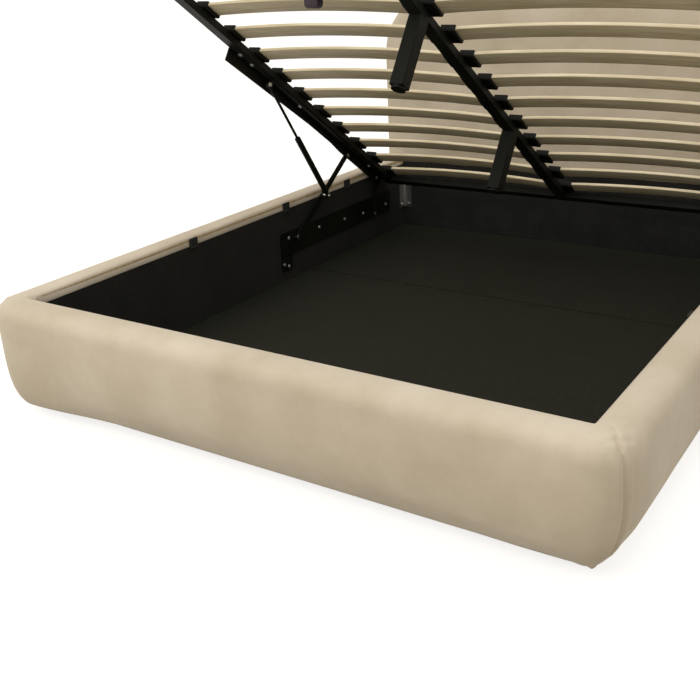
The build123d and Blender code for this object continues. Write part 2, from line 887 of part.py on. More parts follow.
# Pull strap: a hanging loop of webbing on a bead under the foot bar
strap_pivot = on_lift(lift_length - rail_width / 2, -strap_pivot_drop)
strap_plane = Plane(
    origin=(strap_side - strap_width / 2, strap_pivot.Y, strap_pivot.Z),
    x_dir=(0, 1, 0),
    z_dir=(1, 0, 0),
)
with BuildPart() as lift_strap:
    with BuildSketch(strap_plane):
        loop_centre = strap_loop_radius - strap_length
        with BuildLine():
            Line((-strap_bead_radius, 0), (-strap_loop_radius, loop_centre))
            CenterArc((0, loop_centre), strap_loop_radius, 180, 180)
            Line((strap_loop_radius, loop_centre), (strap_bead_radius, 0))
            CenterArc((0, 0), strap_bead_radius, 0, 180)
        make_face()
        inner_radius = strap_loop_radius - strap_thickness
        with BuildLine():
            Line((0, -strap_length / 4), (-inner_radius, loop_centre))
            CenterArc((0, loop_centre), inner_radius, 180, 180)
            Line((inner_radius, loop_centre), (0, -strap_length / 4))
        make_face(mode=Mode.SUBTRACT)
    extrude(amount=strap_width)
finish(lift_strap, "lift_strap")
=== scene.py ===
# %% [markdown]
# # An upholstered ottoman bed
#
# This lesson builds the looks of a storage bed whose slatted frame is lifted on arms and
# gas struts. The measured model of the bed is loaded first as a fixed frame. Its plain
# solids show where each piece is, and every cell after that gives some of them their real
# surface: padded fabric, bent wood, powder-coated steel and so on.

# %% Load the measured bed
import json
import math

import bmesh
import bpy
import numpy as np
from mathutils import Matrix, Vector


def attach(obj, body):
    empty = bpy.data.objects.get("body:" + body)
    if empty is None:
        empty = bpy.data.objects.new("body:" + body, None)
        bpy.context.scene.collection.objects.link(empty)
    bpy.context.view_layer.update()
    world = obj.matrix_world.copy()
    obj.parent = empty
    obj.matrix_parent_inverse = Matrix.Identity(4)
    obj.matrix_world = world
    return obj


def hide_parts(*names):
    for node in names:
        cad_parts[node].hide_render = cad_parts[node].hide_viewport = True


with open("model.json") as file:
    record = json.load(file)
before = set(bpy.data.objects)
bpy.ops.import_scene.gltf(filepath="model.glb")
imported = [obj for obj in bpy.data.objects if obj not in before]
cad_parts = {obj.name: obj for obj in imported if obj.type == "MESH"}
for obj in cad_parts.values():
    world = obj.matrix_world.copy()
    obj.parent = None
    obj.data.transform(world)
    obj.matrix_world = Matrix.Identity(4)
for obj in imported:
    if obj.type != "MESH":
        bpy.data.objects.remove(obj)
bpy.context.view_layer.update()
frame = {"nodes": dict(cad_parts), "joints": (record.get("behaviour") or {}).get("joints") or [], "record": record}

# %% [markdown]
# ## Sizes
#
# Everything is measured in millimetres, as a maker would, and mm turns it into Blender's
# metres. The bed's own axes are used throughout: x to the right seen from the foot,
# y from the foot to the headboard, z up from the floor.

# %% Sizes of the bed
mm = 0.001
half_width = 810 * mm
foot_face, head_face = -1028.5 * mm, 1023.5 * mm
headboard_front = head_face + 2 * mm
wall_height, wall_thickness = 345 * mm, 97 * mm
lining_top = 309 * mm
print("inside of the bed:", round(2 * half_width, 3), "by", round(head_face - foot_face, 3))

# %% [markdown]
# The lifted frame is a flat thing that stands at an angle. It is easiest to model its
# pieces lying flat, with x across, y towards the headboard and z up from the underside of
# its tubes, and then to tip them into place with one matrix. The measured model says where
# its joints are, and the matrix is worked out from the joint between arm and frame.

# %% The lifted frame's own plane
frame_tilt = math.radians(34.3)
front_pivot_from_head, pivot_drop = 344 * mm, 19.4 * mm
joint_places = {j["name"]: Vector(j["pos_m"]) for j in frame["joints"] if "pos_m" in j}
front_pivot_here = Vector((0, -front_pivot_from_head, -pivot_drop))
front_pivot_here.rotate(Matrix.Rotation(-frame_tilt, 3, "X"))
frame_origin = joint_places["frame_pivot"] - front_pivot_here


def tipped(x=0.0, from_head=0.0, height=0.0):
    """The matrix that takes a piece made at the origin to a place on the lifted frame."""
    tip = Matrix.Rotation(-frame_tilt, 4, "X")
    return Matrix.Translation(frame_origin) @ tip @ Matrix.Translation((x, -from_head, height))


print("head end of the lifted frame:", [round(c, 4) for c in tipped().translation])

# %% [markdown]
# ## Working tools
#
# Blender's operators work on whatever is selected, so each step first selects exactly one
# piece. In edit mode, faces and edges are chosen by where they are, which is what a person
# does by eye.

# %% Small tools for modelling


def pick(*pieces):
    """Leave edit mode and select just these pieces, the first one active."""
    if bpy.context.mode != "OBJECT":
        bpy.ops.object.mode_set(mode="OBJECT")
    bpy.ops.object.select_all(action="DESELECT")
    for piece in pieces:
        piece.select_set(True)
    bpy.context.view_layer.objects.active = pieces[0]


def edit(piece, kind, wanted):
    """Go into edit mode with the vertices, edges or faces selected that are wanted."""
    if bpy.context.mode == "OBJECT":
        pick(piece)
        bpy.ops.object.mode_set(mode="EDIT")
    bpy.ops.mesh.select_mode(type=kind)
    bpy.ops.mesh.select_all(action="DESELECT")
    shape = bmesh.from_edit_mesh(piece.data)
    parts = {"VERT": shape.verts, "EDGE": shape.edges, "FACE": shape.faces}[kind]
    for part in parts:
        if wanted(part):
            part.select_set(True)
    shape.select_flush_mode()
    bmesh.update_edit_mesh(piece.data)


def middle(part):
    """The middle of an edge or face."""
    return sum((v.co for v in part.verts), Vector()) / len(part.verts)


def modify(piece, kind, **settings):
    """Add a modifier with its settings and apply it."""
    pick(piece)
    modifier = piece.modifiers.new(kind.lower(), kind)
    for name, value in settings.items():
        setattr(modifier, name, value)
    bpy.ops.object.modifier_apply(modifier=modifier.name)


def put(piece, matrix):
    """Move a piece by a matrix and keep its place in its mesh."""
    pick(piece)
    piece.matrix_world = matrix @ piece.matrix_world
    bpy.ops.object.transform_apply(location=True, rotation=True, scale=True)


def block(name, low, high, rounding=0.0, steps=2):
    """A box between two opposite corners, its edges rounded."""
    low, high = Vector(low), Vector(high)
    bpy.ops.object.select_all(action="DESELECT")
    bpy.ops.mesh.primitive_cube_add(size=1, location=(low + high) / 2)
    piece = bpy.context.object
    piece.name = name
    piece.scale = high - low
    bpy.ops.object.transform_apply(location=True, rotation=True, scale=True)
    if rounding:
        modify(piece, "BEVEL", width=rounding, segments=steps, limit_method="ANGLE")
    return piece


def rod(name, radius, start, end, sides=32):
    """A round bar from one point to another, closed at both ends."""
    start, end = Vector(start), Vector(end)
    step = end - start
    bpy.ops.object.select_all(action="DESELECT")
    bpy.ops.mesh.primitive_cylinder_add(
        vertices=sides,
        radius=radius,
        depth=step.length,
        location=(start + end) / 2,
        rotation=step.to_track_quat("Z", "Y").to_euler(),
    )
    piece = bpy.context.object
    piece.name = name
    bpy.ops.object.transform_apply(location=True, rotation=True, scale=True)
    return piece


def copies(piece, matrices):
    """The piece itself and a copy with its own mesh for each further matrix."""
    made = []
    for number, matrix in enumerate(matrices):
        pick(piece)
        bpy.ops.object.duplicate(linked=False)
        twin = bpy.context.object
        put(twin, matrix)
        made.append(twin)
    bpy.data.objects.remove(piece)
    return made


def join(pieces, name):
    """Join several pieces into one mesh."""
    pick(*pieces)
    if len(pieces) > 1:
        bpy.ops.object.join()
    bpy.context.object.name = name
    return bpy.context.object


def mirrored(pieces, name):
    """Join pieces of the right-hand side with their mirror images on the left."""
    piece = join(pieces, name)
    modify(piece, "MIRROR", use_axis=(True, False, False), use_mirror_merge=False)
    return piece


# %% [markdown]
# ## The room and the camera
#
# The bed is looked at from above its right foot corner, with a lens a little longer than
# normal. The lens is turned a few degrees, which is why upright edges lean.

# %% The camera
camera_turn, camera_tilt, camera_roll = 34.315, 90 - 22.481, -2.859
camera_place, lens_length = (1.3523, -2.6337, 1.1871), 49.5
bpy.ops.object.camera_add(location=camera_place)
camera = bpy.context.object
camera.name = "camera"
camera.rotation_euler = (
    Matrix.Rotation(math.radians(camera_turn), 4, "Z")
    @ Matrix.Rotation(math.radians(camera_tilt), 4, "X")
    @ Matrix.Rotation(math.radians(camera_roll), 4, "Z")
).to_euler()
camera.data.sensor_width = 36
camera.data.lens = lens_length
camera.data.clip_start = 0.05
bpy.context.scene.camera = camera
print("camera at", [round(c, 3) for c in camera.location])

# %% [markdown]
# One small function adds a shader node, sets its inputs and links other nodes into it, so
# that a material reads from top to bottom. Colours are written as the hex values of a
# paint chart, and turned to the linear values that a renderer adds up.

# %% Tools for materials


def linear(hex_colour):
    """A hex colour of the screen as linear light."""
    parts = [int(hex_colour[i : i + 2], 16) / 255 for i in (1, 3, 5)]
    light = [p / 12.92 if p <= 0.04045 else ((p + 0.055) / 1.055) ** 2.4 for p in parts]
    return (*light, 1.0)


def add_node(tree, kind, inputs=None, **settings):
    """Add a node, set its options, and fill its inputs with values or other sockets."""
    node = tree.nodes.new(kind)
    for name, value in settings.items():
        setattr(node, name, value)
    for key, value in (inputs or {}).items():
        if isinstance(value, bpy.types.NodeSocket):
            tree.links.new(value, node.inputs[key])
        else:
            node.inputs[key].default_value = value
    return node


def new_material(name, **finish):
    """An empty material with one surface shader, whose plain values are set directly."""
    material = bpy.data.materials.new(name)
    material.use_nodes = True
    tree = material.node_tree
    tree.nodes.clear()
    coat = add_node(tree, "ShaderNodeBsdfPrincipled")
    for key, value in finish.items():
        coat.inputs[key.replace("_", " ")].default_value = value
    out = add_node(tree, "ShaderNodeOutputMaterial", {"Surface": coat.outputs[0]})
    place = add_node(tree, "ShaderNodeTexCoord").outputs["Object"]
    return material, tree, coat, place


# %% [markdown]
# The floor is a pale studio sweep. To the camera, and in mirrors and glass, it gives light
# of its own, so that it reads as white paper and keeps only the soft shadow under the bed.
# The bed gets none of that extra light.

# %% The floor
floor_glow = 0.78
bpy.ops.object.select_all(action="DESELECT")
bpy.ops.mesh.primitive_plane_add(size=60, location=(0, 0, 0))
floor = bpy.context.object
floor.name = "studio_floor"
paper, tree, coat, place = new_material("white_paper", Roughness=0.9)
coat.inputs["Base Color"].default_value = linear("#AAA79F")
seen = add_node(tree, "ShaderNodeLightPath")
seen_or_mirrored = add_node(
    tree,
    "ShaderNodeMath",
    {0: seen.outputs["Is Camera Ray"], 1: seen.outputs["Is Glossy Ray"]},
    operation="MAXIMUM",
)
seen_at_all = add_node(
    tree,
    "ShaderNodeMath",
    {0: seen_or_mirrored.outputs[0], 1: seen.outputs["Is Transmission Ray"]},
    operation="MAXIMUM",
)
lift = add_node(
    tree, "ShaderNodeMath", {0: seen_at_all.outputs[0], 1: floor_glow}, operation="MULTIPLY"
)
glow = add_node(tree, "ShaderNodeEmission", {"Strength": lift.outputs[0]})
both = add_node(tree, "ShaderNodeAddShader", {0: coat.outputs[0], 1: glow.outputs[0]})
tree.links.new(both.outputs[0], tree.nodes["Material Output"].inputs["Surface"])
floor.data.materials.append(paper)
print("floor:", floor.name)

# %% [markdown]
# Behind the floor the camera sees plain white. The bed itself is lit by a dimmer, slightly
# warm air, as in a room with pale walls.

# %% The white surroundings
air_light = 0.78
world = bpy.data.worlds.new("studio")
bpy.context.scene.world = world
world.use_nodes = True
tree = world.node_tree
tree.nodes.clear()
seen = add_node(tree, "ShaderNodeLightPath")
seen_or_mirrored = add_node(
    tree,
    "ShaderNodeMath",
    {0: seen.outputs["Is Camera Ray"], 1: seen.outputs["Is Transmission Ray"]},
    operation="MAXIMUM",
)
soft_air = add_node(
    tree, "ShaderNodeBackground", {"Color": linear("#FEF6E7"), "Strength": air_light}
)
white = add_node(tree, "ShaderNodeBackground", {"Color": (1, 1, 1, 1), "Strength": 1.0})
air = add_node(
    tree,
    "ShaderNodeMixShader",
    {0: seen_or_mirrored.outputs[0], 1: soft_air.outputs[0], 2: white.outputs[0]},
)
add_node(tree, "ShaderNodeOutputWorld", {"Surface": air.outputs[0]})
print("surroundings:", world.name)

# %% [markdown]
# Two large round lamps give the soft light of a studio: one stands beyond the foot end and
# lights the foot wall and the slats' edges, and a cooler one hangs over the bed. Both are
# turned towards the middle of the bed. Size is in metres and power in watts.

# %% The lamps
lamps = (
    ("window_light", (-1.0, -3.9, 3.3), 2.8, 81, "#FFFFFF"),
    ("top_light", (0.9, -0.3, 4.4), 3.2, 64, "#EAF4FF"),
)
for name, spot, size, power, tint in lamps:
    bpy.ops.object.light_add(type="AREA", location=spot)
    lamp = bpy.context.object
    lamp.name = name
    lamp.data.shape = "DISK"
    lamp.data.size = size
    lamp.data.energy = power
    lamp.data.color = linear(tint)[:3]
    to_bed = Vector((0, 0, 0.3)) - lamp.location
    lamp.rotation_euler = to_bed.to_track_quat("-Z", "Y").to_euler()
bpy.context.scene.view_settings.view_transform = "Standard"
print("lamps:", [name for name, *_ in lamps])

# %% [markdown]
# ## Materials
#
# The cover is a short-pile polyester velvet in beige. Velvet looks matt when it is seen
# face on and gets a pale sheen where the surface turns away, because one then looks along
# the fibres. The pile is about 1 mm, too fine to show from here, so its grain is drawn at
# 1.6 mm. Where hands have brushed the nap, strokes as wide as a finger and patches as wide as
# a palm are lighter or darker.

# %% Beige velvet cover
velvet, tree, coat, place = new_material(
    "brushed_velvet", Roughness=0.88, Sheen_Weight=0.4, Sheen_Roughness=0.45
)
coat.inputs["Sheen Tint"].default_value = linear("#F8F2E8")
nap = add_node(
    tree, "ShaderNodeTexNoise", {"Vector": place, "Scale": 1 / (260 * mm), "Detail": 3.0}
)
patches = add_node(tree, "ShaderNodeValToRGB", {"Fac": nap.outputs["Fac"]})
patches.color_ramp.elements[0].position = 0.34
patches.color_ramp.elements[0].color = linear("#BAAD98")
patches.color_ramp.elements[1].position = 0.68
patches.color_ramp.elements[1].color = linear("#CBBFAD")
pile = add_node(
    tree, "ShaderNodeTexNoise", {"Vector": place, "Scale": 1 / (1.6 * mm), "Detail": 2.0}
)
brushed = add_node(
    tree,
    "ShaderNodeTexNoise",
    {"Vector": place, "Scale": 1 / (34 * mm), "Detail": 6.0, "Roughness": 0.65, "Distortion": 0.5},
)
stroked = add_node(
    tree,
    "ShaderNodeMix",
    {"Factor": 0.15, 6: patches.outputs["Color"], 7: brushed.outputs["Fac"]},
    data_type="RGBA",
    blend_type="SOFT_LIGHT",
)
grain = add_node(
    tree,
    "ShaderNodeMix",
    {"Factor": 0.2, 6: stroked.outputs[2], 7: pile.outputs["Fac"]},
    data_type="RGBA",
    blend_type="SOFT_LIGHT",
)
tree.links.new(grain.outputs[2], coat.inputs["Base Color"])
ruffle = add_node(
    tree, "ShaderNodeTexNoise", {"Vector": place, "Scale": 1 / (14 * mm), "Detail": 4.0}
)
fibres = add_node(
    tree,
    "ShaderNodeBump",
    {"Strength": 0.35, "Distance": 0.5 * mm, "Height": pile.outputs["Fac"]},
)
soft = add_node(
    tree,
    "ShaderNodeBump",
    {
        "Strength": 0.25,
        "Distance": 1.2 * mm,
        "Height": ruffle.outputs["Fac"],
        "Normal": fibres.outputs["Normal"],
    },
)
tree.links.new(soft.outputs["Normal"], coat.inputs["Normal"])
print("made", velvet.name)

# %% [markdown]
# The inside of the base is lined with black non-woven polypropylene, the cloth that closes
# the underside of most sofas. It is pressed from short fibres with a grid of small welded
# dots about 3 mm apart, and it hardly reflects at all.

# %% Black non-woven lining
lining, tree, coat, place = new_material("black_non_woven", Roughness=0.92)
fleece = add_node(
    tree, "ShaderNodeTexNoise", {"Vector": place, "Scale": 1 / (9 * mm), "Detail": 6.0}
)
cloudy = add_node(
    tree, "ShaderNodeTexNoise", {"Vector": place, "Scale": 1 / (110 * mm), "Detail": 4.0}
)
depth = add_node(
    tree,
    "ShaderNodeMath",
    {0: fleece.outputs["Fac"], 1: cloudy.outputs["Fac"]},
    operation="MULTIPLY",
)
tone = add_node(tree, "ShaderNodeValToRGB", {"Fac": depth.outputs[0]})
tone.color_ramp.elements[0].position = 0.15
tone.color_ramp.elements[0].color = linear("#070704")
tone.color_ramp.elements[1].position = 0.4
tone.color_ramp.elements[1].color = linear("#191914")
tree.links.new(tone.outputs["Color"], coat.inputs["Base Color"])
dots = add_node(
    tree, "ShaderNodeTexVoronoi", {"Vector": place, "Scale": 1 / (3 * mm), "Randomness": 0.15}
)
bump = add_node(
    tree,
    "ShaderNodeBump",
    {"Strength": 0.5, "Distance": 0.4 * mm, "Height": dots.outputs["Distance"]},
)
tree.links.new(bump.outputs["Normal"], coat.inputs["Normal"])
print("made", lining.name)

# %% [markdown]
# The floor panels are thin fibreboard with a black embossed paper face. The embossing
# gives short grains of grey about 4 mm long, and dust settles in it in cloudy patches.

# %% Black embossed floor board
floor_board, tree, coat, place = new_material(
    "embossed_black_board", Roughness=0.75, Specular_IOR_Level=0.22
)
specks = add_node(
    tree,
    "ShaderNodeTexNoise",
    {"Vector": place, "Scale": 1 / (5 * mm), "Detail": 5.0, "Roughness": 0.7},
)
dust = add_node(
    tree, "ShaderNodeTexNoise", {"Vector": place, "Scale": 1 / (120 * mm), "Detail": 5.0}
)
grain = add_node(tree, "ShaderNodeValToRGB", {"Fac": specks.outputs["Fac"]})
grain.color_ramp.elements[0].position = 0.42
grain.color_ramp.elements[0].color = linear("#0D0D07")
grain.color_ramp.elements[1].position = 0.72
grain.color_ramp.elements[1].color = linear("#38382A")
dusty = add_node(
    tree,
    "ShaderNodeMix",
    {"Factor": dust.outputs["Fac"], 6: grain.outputs["Color"], 7: linear("#191911")},
    data_type="RGBA",
)
tree.links.new(dusty.outputs[2], coat.inputs["Base Color"])
bump = add_node(
    tree, "ShaderNodeBump", {"Strength": 0.4, "Distance": 0.3 * mm, "Height": specks.outputs["Fac"]}
)
tree.links.new(bump.outputs["Normal"], coat.inputs["Normal"])
print("made", floor_board.name)

# %% [markdown]
# The slats are birch veneers glued in a bent mould and sanded. The grain runs along each
# slat: long streaks a few millimetres wide, with fine pores between them. Every slat comes
# from another sheet, so the tone differs a little from one to the next.

# %% Birch laminate
birch, tree, coat, place = new_material("bent_birch_laminate", Roughness=0.5)
place = add_node(tree, "ShaderNodeAttribute", attribute_name="flat_place").outputs["Vector"]
along = add_node(tree, "ShaderNodeMapping", {"Vector": place, "Scale": (1 / 22, 1, 1)})
streaks = add_node(
    tree,
    "ShaderNodeTexNoise",
    {"Vector": along.outputs[0], "Scale": 1 / (7 * mm), "Detail": 5.0, "Distortion": 0.6},
)
sheets = add_node(
    tree, "ShaderNodeTexNoise", {"Vector": place, "Scale": 1 / (330 * mm), "Detail": 1.0}
)
tone = add_node(tree, "ShaderNodeValToRGB", {"Fac": streaks.outputs["Fac"]})
tone.color_ramp.elements[0].position = 0.3
tone.color_ramp.elements[0].color = linear("#BEAE8B")
tone.color_ramp.elements[1].position = 0.7
tone.color_ramp.elements[1].color = linear("#E2D4B6")
shade = add_node(
    tree,
    "ShaderNodeMix",
    {"Factor": 0.25, 6: tone.outputs["Color"], 7: sheets.outputs["Fac"]},
    data_type="RGBA",
    blend_type="SOFT_LIGHT",
)
tree.links.new(shade.outputs[2], coat.inputs["Base Color"])
bump = add_node(
    tree,
    "ShaderNodeBump",
    {"Strength": 0.2, "Distance": 0.15 * mm, "Height": streaks.outputs["Fac"]},
)
tree.links.new(bump.outputs["Normal"], coat.inputs["Normal"])
print("made", birch.name)

# %% [markdown]
# The steel of the frame and the arms is powder coated: a black plastic powder baked into a
# skin with the faint dimples of orange peel, about 2 mm apart. Edges that rub go a little
# greyer.

# %% Black powder coat
powder_coat, tree, coat, place = new_material(
    "black_powder_coat", Roughness=0.5, IOR=1.5, Specular_IOR_Level=0.14
)
peel = add_node(
    tree, "ShaderNodeTexNoise", {"Vector": place, "Scale": 1 / (2 * mm), "Detail": 2.0}
)
haze = add_node(
    tree, "ShaderNodeTexNoise", {"Vector": place, "Scale": 1 / (120 * mm), "Detail": 4.0}
)
tone = add_node(tree, "ShaderNodeValToRGB", {"Fac": haze.outputs["Fac"]})
tone.color_ramp.elements[0].position = 0.35
tone.color_ramp.elements[0].color = linear("#0D0E09")
tone.color_ramp.elements[1].position = 0.75
tone.color_ramp.elements[1].color = linear("#181912")
tree.links.new(tone.outputs["Color"], coat.inputs["Base Color"])
rough = add_node(
    tree,
    "ShaderNodeMapRange",
    {"Value": haze.outputs["Fac"], "To Min": 0.44, "To Max": 0.6},
)
tree.links.new(rough.outputs[0], coat.inputs["Roughness"])
bump = add_node(
    tree, "ShaderNodeBump", {"Strength": 0.25, "Distance": 0.15 * mm, "Height": peel.outputs["Fac"]}
)
tree.links.new(bump.outputs["Normal"], coat.inputs["Normal"])
print("made", powder_coat.name)

# %% [markdown]
# Bolts and brackets are zinc plated and passivated: a bright grey metal with cloudy
# crystal patches a few millimetres wide, and fine scratches from the box it came in.

# %% Zinc plate
zinc, tree, coat, place = new_material("zinc_plate", Metallic=1.0, Roughness=0.34)
crystals = add_node(
    tree, "ShaderNodeTexNoise", {"Vector": place, "Scale": 1 / (6 * mm), "Detail": 4.0}
)
tone = add_node(tree, "ShaderNodeValToRGB", {"Fac": crystals.outputs["Fac"]})
tone.color_ramp.elements[0].color = linear("#A9A9A4")
tone.color_ramp.elements[1].color = linear("#D2D2CC")
tree.links.new(tone.outputs["Color"], coat.inputs["Base Color"])
rough = add_node(
    tree, "ShaderNodeMapRange", {"Value": crystals.outputs["Fac"], "To Min": 0.26, "To Max": 0.44}
)
tree.links.new(rough.outputs[0], coat.inputs["Roughness"])
print("made", zinc.name)

# %% [markdown]
# The slat holders, glides and feet are moulded polypropylene: black, slightly waxy, with
# the fine spark-eroded texture of the mould. The buffers are softer and quite matt rubber.

# %% Moulded plastic and rubber
moulded, tree, coat, place = new_material(
    "moulded_polypropylene", Roughness=0.5, IOR=1.49, Specular_IOR_Level=0.16
)
spark = add_node(
    tree, "ShaderNodeTexNoise", {"Vector": place, "Scale": 1 / (1.2 * mm), "Detail": 3.0}
)
tone = add_node(tree, "ShaderNodeValToRGB", {"Fac": spark.outputs["Fac"]})
tone.color_ramp.elements[0].color = linear("#0B0B09")
tone.color_ramp.elements[1].color = linear("#141411")
tree.links.new(tone.outputs["Color"], coat.inputs["Base Color"])
bump = add_node(
    tree, "ShaderNodeBump", {"Strength": 0.3, "Distance": 0.1 * mm, "Height": spark.outputs["Fac"]}
)
tree.links.new(bump.outputs["Normal"], coat.inputs["Normal"])

rubber, tree, coat, place = new_material("buffer_rubber", Roughness=0.8, IOR=1.52)
bloom = add_node(
    tree, "ShaderNodeTexNoise", {"Vector": place, "Scale": 1 / (8 * mm), "Detail": 5.0}
)
tone = add_node(tree, "ShaderNodeValToRGB", {"Fac": bloom.outputs["Fac"]})
tone.color_ramp.elements[0].color = linear("#151512")
tone.color_ramp.elements[1].color = linear("#24241F")
tree.links.new(tone.outputs["Color"], coat.inputs["Base Color"])
print("made", moulded.name, "and", rubber.name)

# %% [markdown]
# The boards behind the linings are particle board, and only their lower edges can be seen,
# from very low. Chips of light and dark wood 2 to 6 mm long are pressed together.

# %% Particle board
chipboard, tree, coat, place = new_material("particle_board", Roughness=0.85)
chips = add_node(tree, "ShaderNodeTexVoronoi", {"Vector": place, "Scale": 1 / (4 * mm)})
tone = add_node(tree, "ShaderNodeValToRGB", {"Fac": chips.outputs["Color"]})
tone.color_ramp.elements[0].color = linear("#9C8057")
tone.color_ramp.elements[1].color = linear("#D2BA90")
tree.links.new(tone.outputs["Color"], coat.inputs["Base Color"])
bump = add_node(
    tree,
    "ShaderNodeBump",
    {"Strength": 0.5, "Distance": 0.3 * mm, "Height": chips.outputs["Distance"]},
)
tree.links.new(bump.outputs["Normal"], coat.inputs["Normal"])
print("made", chipboard.name)

# %% [markdown]
# The pull strap is woven polyester webbing, with a rib across it every 2 mm.

# %% Webbing
webbing, tree, coat, place = new_material("woven_webbing", Roughness=0.8, Sheen_Weight=0.15)
ribs = add_node(
    tree,
    "ShaderNodeTexWave",
    {"Vector": place, "Scale": 1 / (2 * mm) / 6.28, "Distortion": 0.4},
    bands_direction="Z",
)
tone = add_node(tree, "ShaderNodeValToRGB", {"Fac": ribs.outputs["Fac"]})
tone.color_ramp.elements[0].color = linear("#1B141C")
tone.color_ramp.elements[1].color = linear("#3B2C3A")
tree.links.new(tone.outputs["Color"], coat.inputs["Base Color"])
bump = add_node(
    tree, "ShaderNodeBump", {"Strength": 0.6, "Distance": 0.4 * mm, "Height": ribs.outputs["Fac"]}
)
tree.links.new(bump.outputs["Normal"], coat.inputs["Normal"])

finishes = {
    "fabric_cover": velvet,
    "wall_board": chipboard,
    "black_lining": lining,
    "floor_board": floor_board,
    "slat_wood": birch,
    "black_steel": powder_coat,
    "zinc_steel": zinc,
    "black_plastic": moulded,
    "black_rubber": rubber,
    "strap_webbing": webbing,
}
print(len(finishes), "materials")

# %% [markdown]
# Each finished piece gets its material and is told which moving body carries it, and the
# measured solids that it stands for are hidden.

# %% Dressing a piece


def dress(piece, slot, body, *nodes, smooth=35):
    """Give a finished piece its material and its body, in place of measured solids."""
    piece.data.materials.clear()
    piece.data.materials.append(finishes[slot])
    pick(piece)
    if smooth:
        bpy.ops.object.shade_smooth_by_angle(angle=math.radians(smooth))
    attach(piece, body)
    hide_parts(*nodes)
    print(piece.name, "faces:", len(piece.data.polygons))
    return piece


node_slots = {part["node"]: part["material_slot"] for part in frame["record"]["subparts"]}
for name, node in frame["nodes"].items():
    node.data.materials.clear()
    node.data.materials.append(finishes[node_slots[name]])
print("nodes with their own finish:", len(frame["nodes"]))

# %% [markdown]
# ## Padded walls
#
# Each wall of the base is a board with a thick layer of foam glued on and fabric pulled
# over it. The crown is flat and the outside curves far in towards the floor. The section
# is drawn first as one flat face: a square with a quarter-round corner, stretched downwards
# into the long curve of the belly, and then extruded up to the crown. The crown gets a round
# shoulder outside and a long soft slope down to the lining. The section is a little smaller
# than the wall, because the cover will swell.

# %% The walls' section
belly_width, belly_height = 88 * mm, 235 * mm
skirt_height = 27 * mm
crown_radius = 45 * mm
slope_width, slope_drop = 30 * mm, 16 * mm
slack = 5 * mm


def wall_section(name):
    """The wall's cross-section as one face, x outwards from the lining and z up."""
    bpy.ops.object.select_all(action="DESELECT")
    bpy.ops.mesh.primitive_plane_add(size=1, rotation=(math.pi / 2, 0, 0))
    piece = bpy.context.object
    piece.name = name
    width = wall_thickness - slack
    side = belly_width + 1 * mm
    piece.scale = (width, side, 1)
    bpy.ops.object.transform_apply(location=True, rotation=True, scale=True)
    put(piece, Matrix.Translation((width / 2, 0, belly_height - side / 2)))
    edit(piece, "VERT", lambda v: v.co.x > width / 2 and v.co.z < belly_height - side / 2)
    bpy.ops.mesh.bevel(offset=belly_width - slack, segments=14, affect="VERTICES")
    bpy.ops.mesh.select_all(action="SELECT")
    bpy.ops.transform.resize(
        value=(1, 1, (belly_height - skirt_height) / side),
        center_override=(0, 0, belly_height),
    )
    edit(piece, "EDGE", lambda e: all(v.co.z > belly_height - 0.1 * mm for v in e.verts))
    rise = wall_height - slack - belly_height
    bpy.ops.mesh.extrude_region_move(TRANSFORM_OT_translate={"value": (0, 0, rise)})
    bpy.ops.mesh.select_all(action="SELECT")
    bpy.ops.mesh.dissolve_faces()
    top = wall_height - slack - 0.1 * mm
    edit(piece, "VERT", lambda v: v.co.z > top and v.co.x > width / 2)
    bpy.ops.mesh.bevel(offset=crown_radius - 1 * mm, segments=10, affect="VERTICES")
    edit(piece, "VERT", lambda v: v.co.z > top and v.co.x < 0.1 * mm)
    bpy.ops.mesh.bevel(offset=slope_width, segments=8, affect="VERTICES")
    edit(
        piece,
        "VERT",
        lambda v: v.co.z > wall_height - slack - slope_width - 0.1 * mm
        and v.co.x < slope_width + 0.1 * mm,
    )
    bpy.ops.transform.resize(
        value=(1, 1, slope_drop / slope_width), center_override=(0, 0, wall_height - slack)
    )
    bpy.ops.object.mode_set(mode="OBJECT")
    return piece


print("wall section:", wall_thickness, "thick and", wall_height, "high, metres")

# %% [markdown]
# One length of fabric goes round the foot and both sides, so all three walls are one form.
# The foot wall is the section drawn out across the bed and spun a quarter turn around each
# inner corner. The side walls run a little way into those corners and merge with them when
# the cover is rebuilt in even squares.

# %% The three walls as one form


def long_wall(name, length):
    """The wall's section drawn out along y."""
    piece = wall_section(name)
    edit(piece, "FACE", lambda f: True)
    bpy.ops.mesh.extrude_region_move(TRANSFORM_OT_translate={"value": (0, length, 0)})
    bpy.ops.mesh.select_all(action="SELECT")
    bpy.ops.mesh.normals_make_consistent(inside=False)
    bpy.ops.object.mode_set(mode="OBJECT")
    return piece


foot_wall = long_wall("foot_wall", 2 * half_width)
to_foot = Matrix.Translation((-half_width, foot_face, 0)) @ Matrix.Rotation(-math.pi / 2, 4, "Z")
put(foot_wall, to_foot)
for side in (-1, 1):
    edge = side * half_width
    edit(foot_wall, "FACE", lambda f: abs(middle(f).x - edge) < 0.1 * mm)
    bpy.ops.mesh.spin(
        steps=14,
        angle=-side * math.pi / 2,
        center=(edge, foot_face, 0),
        axis=(0, 0, 1),
    )
bpy.ops.mesh.select_all(action="SELECT")
bpy.ops.mesh.remove_doubles(threshold=0.05 * mm)
bpy.ops.mesh.normals_make_consistent(inside=False)
bpy.ops.object.mode_set(mode="OBJECT")

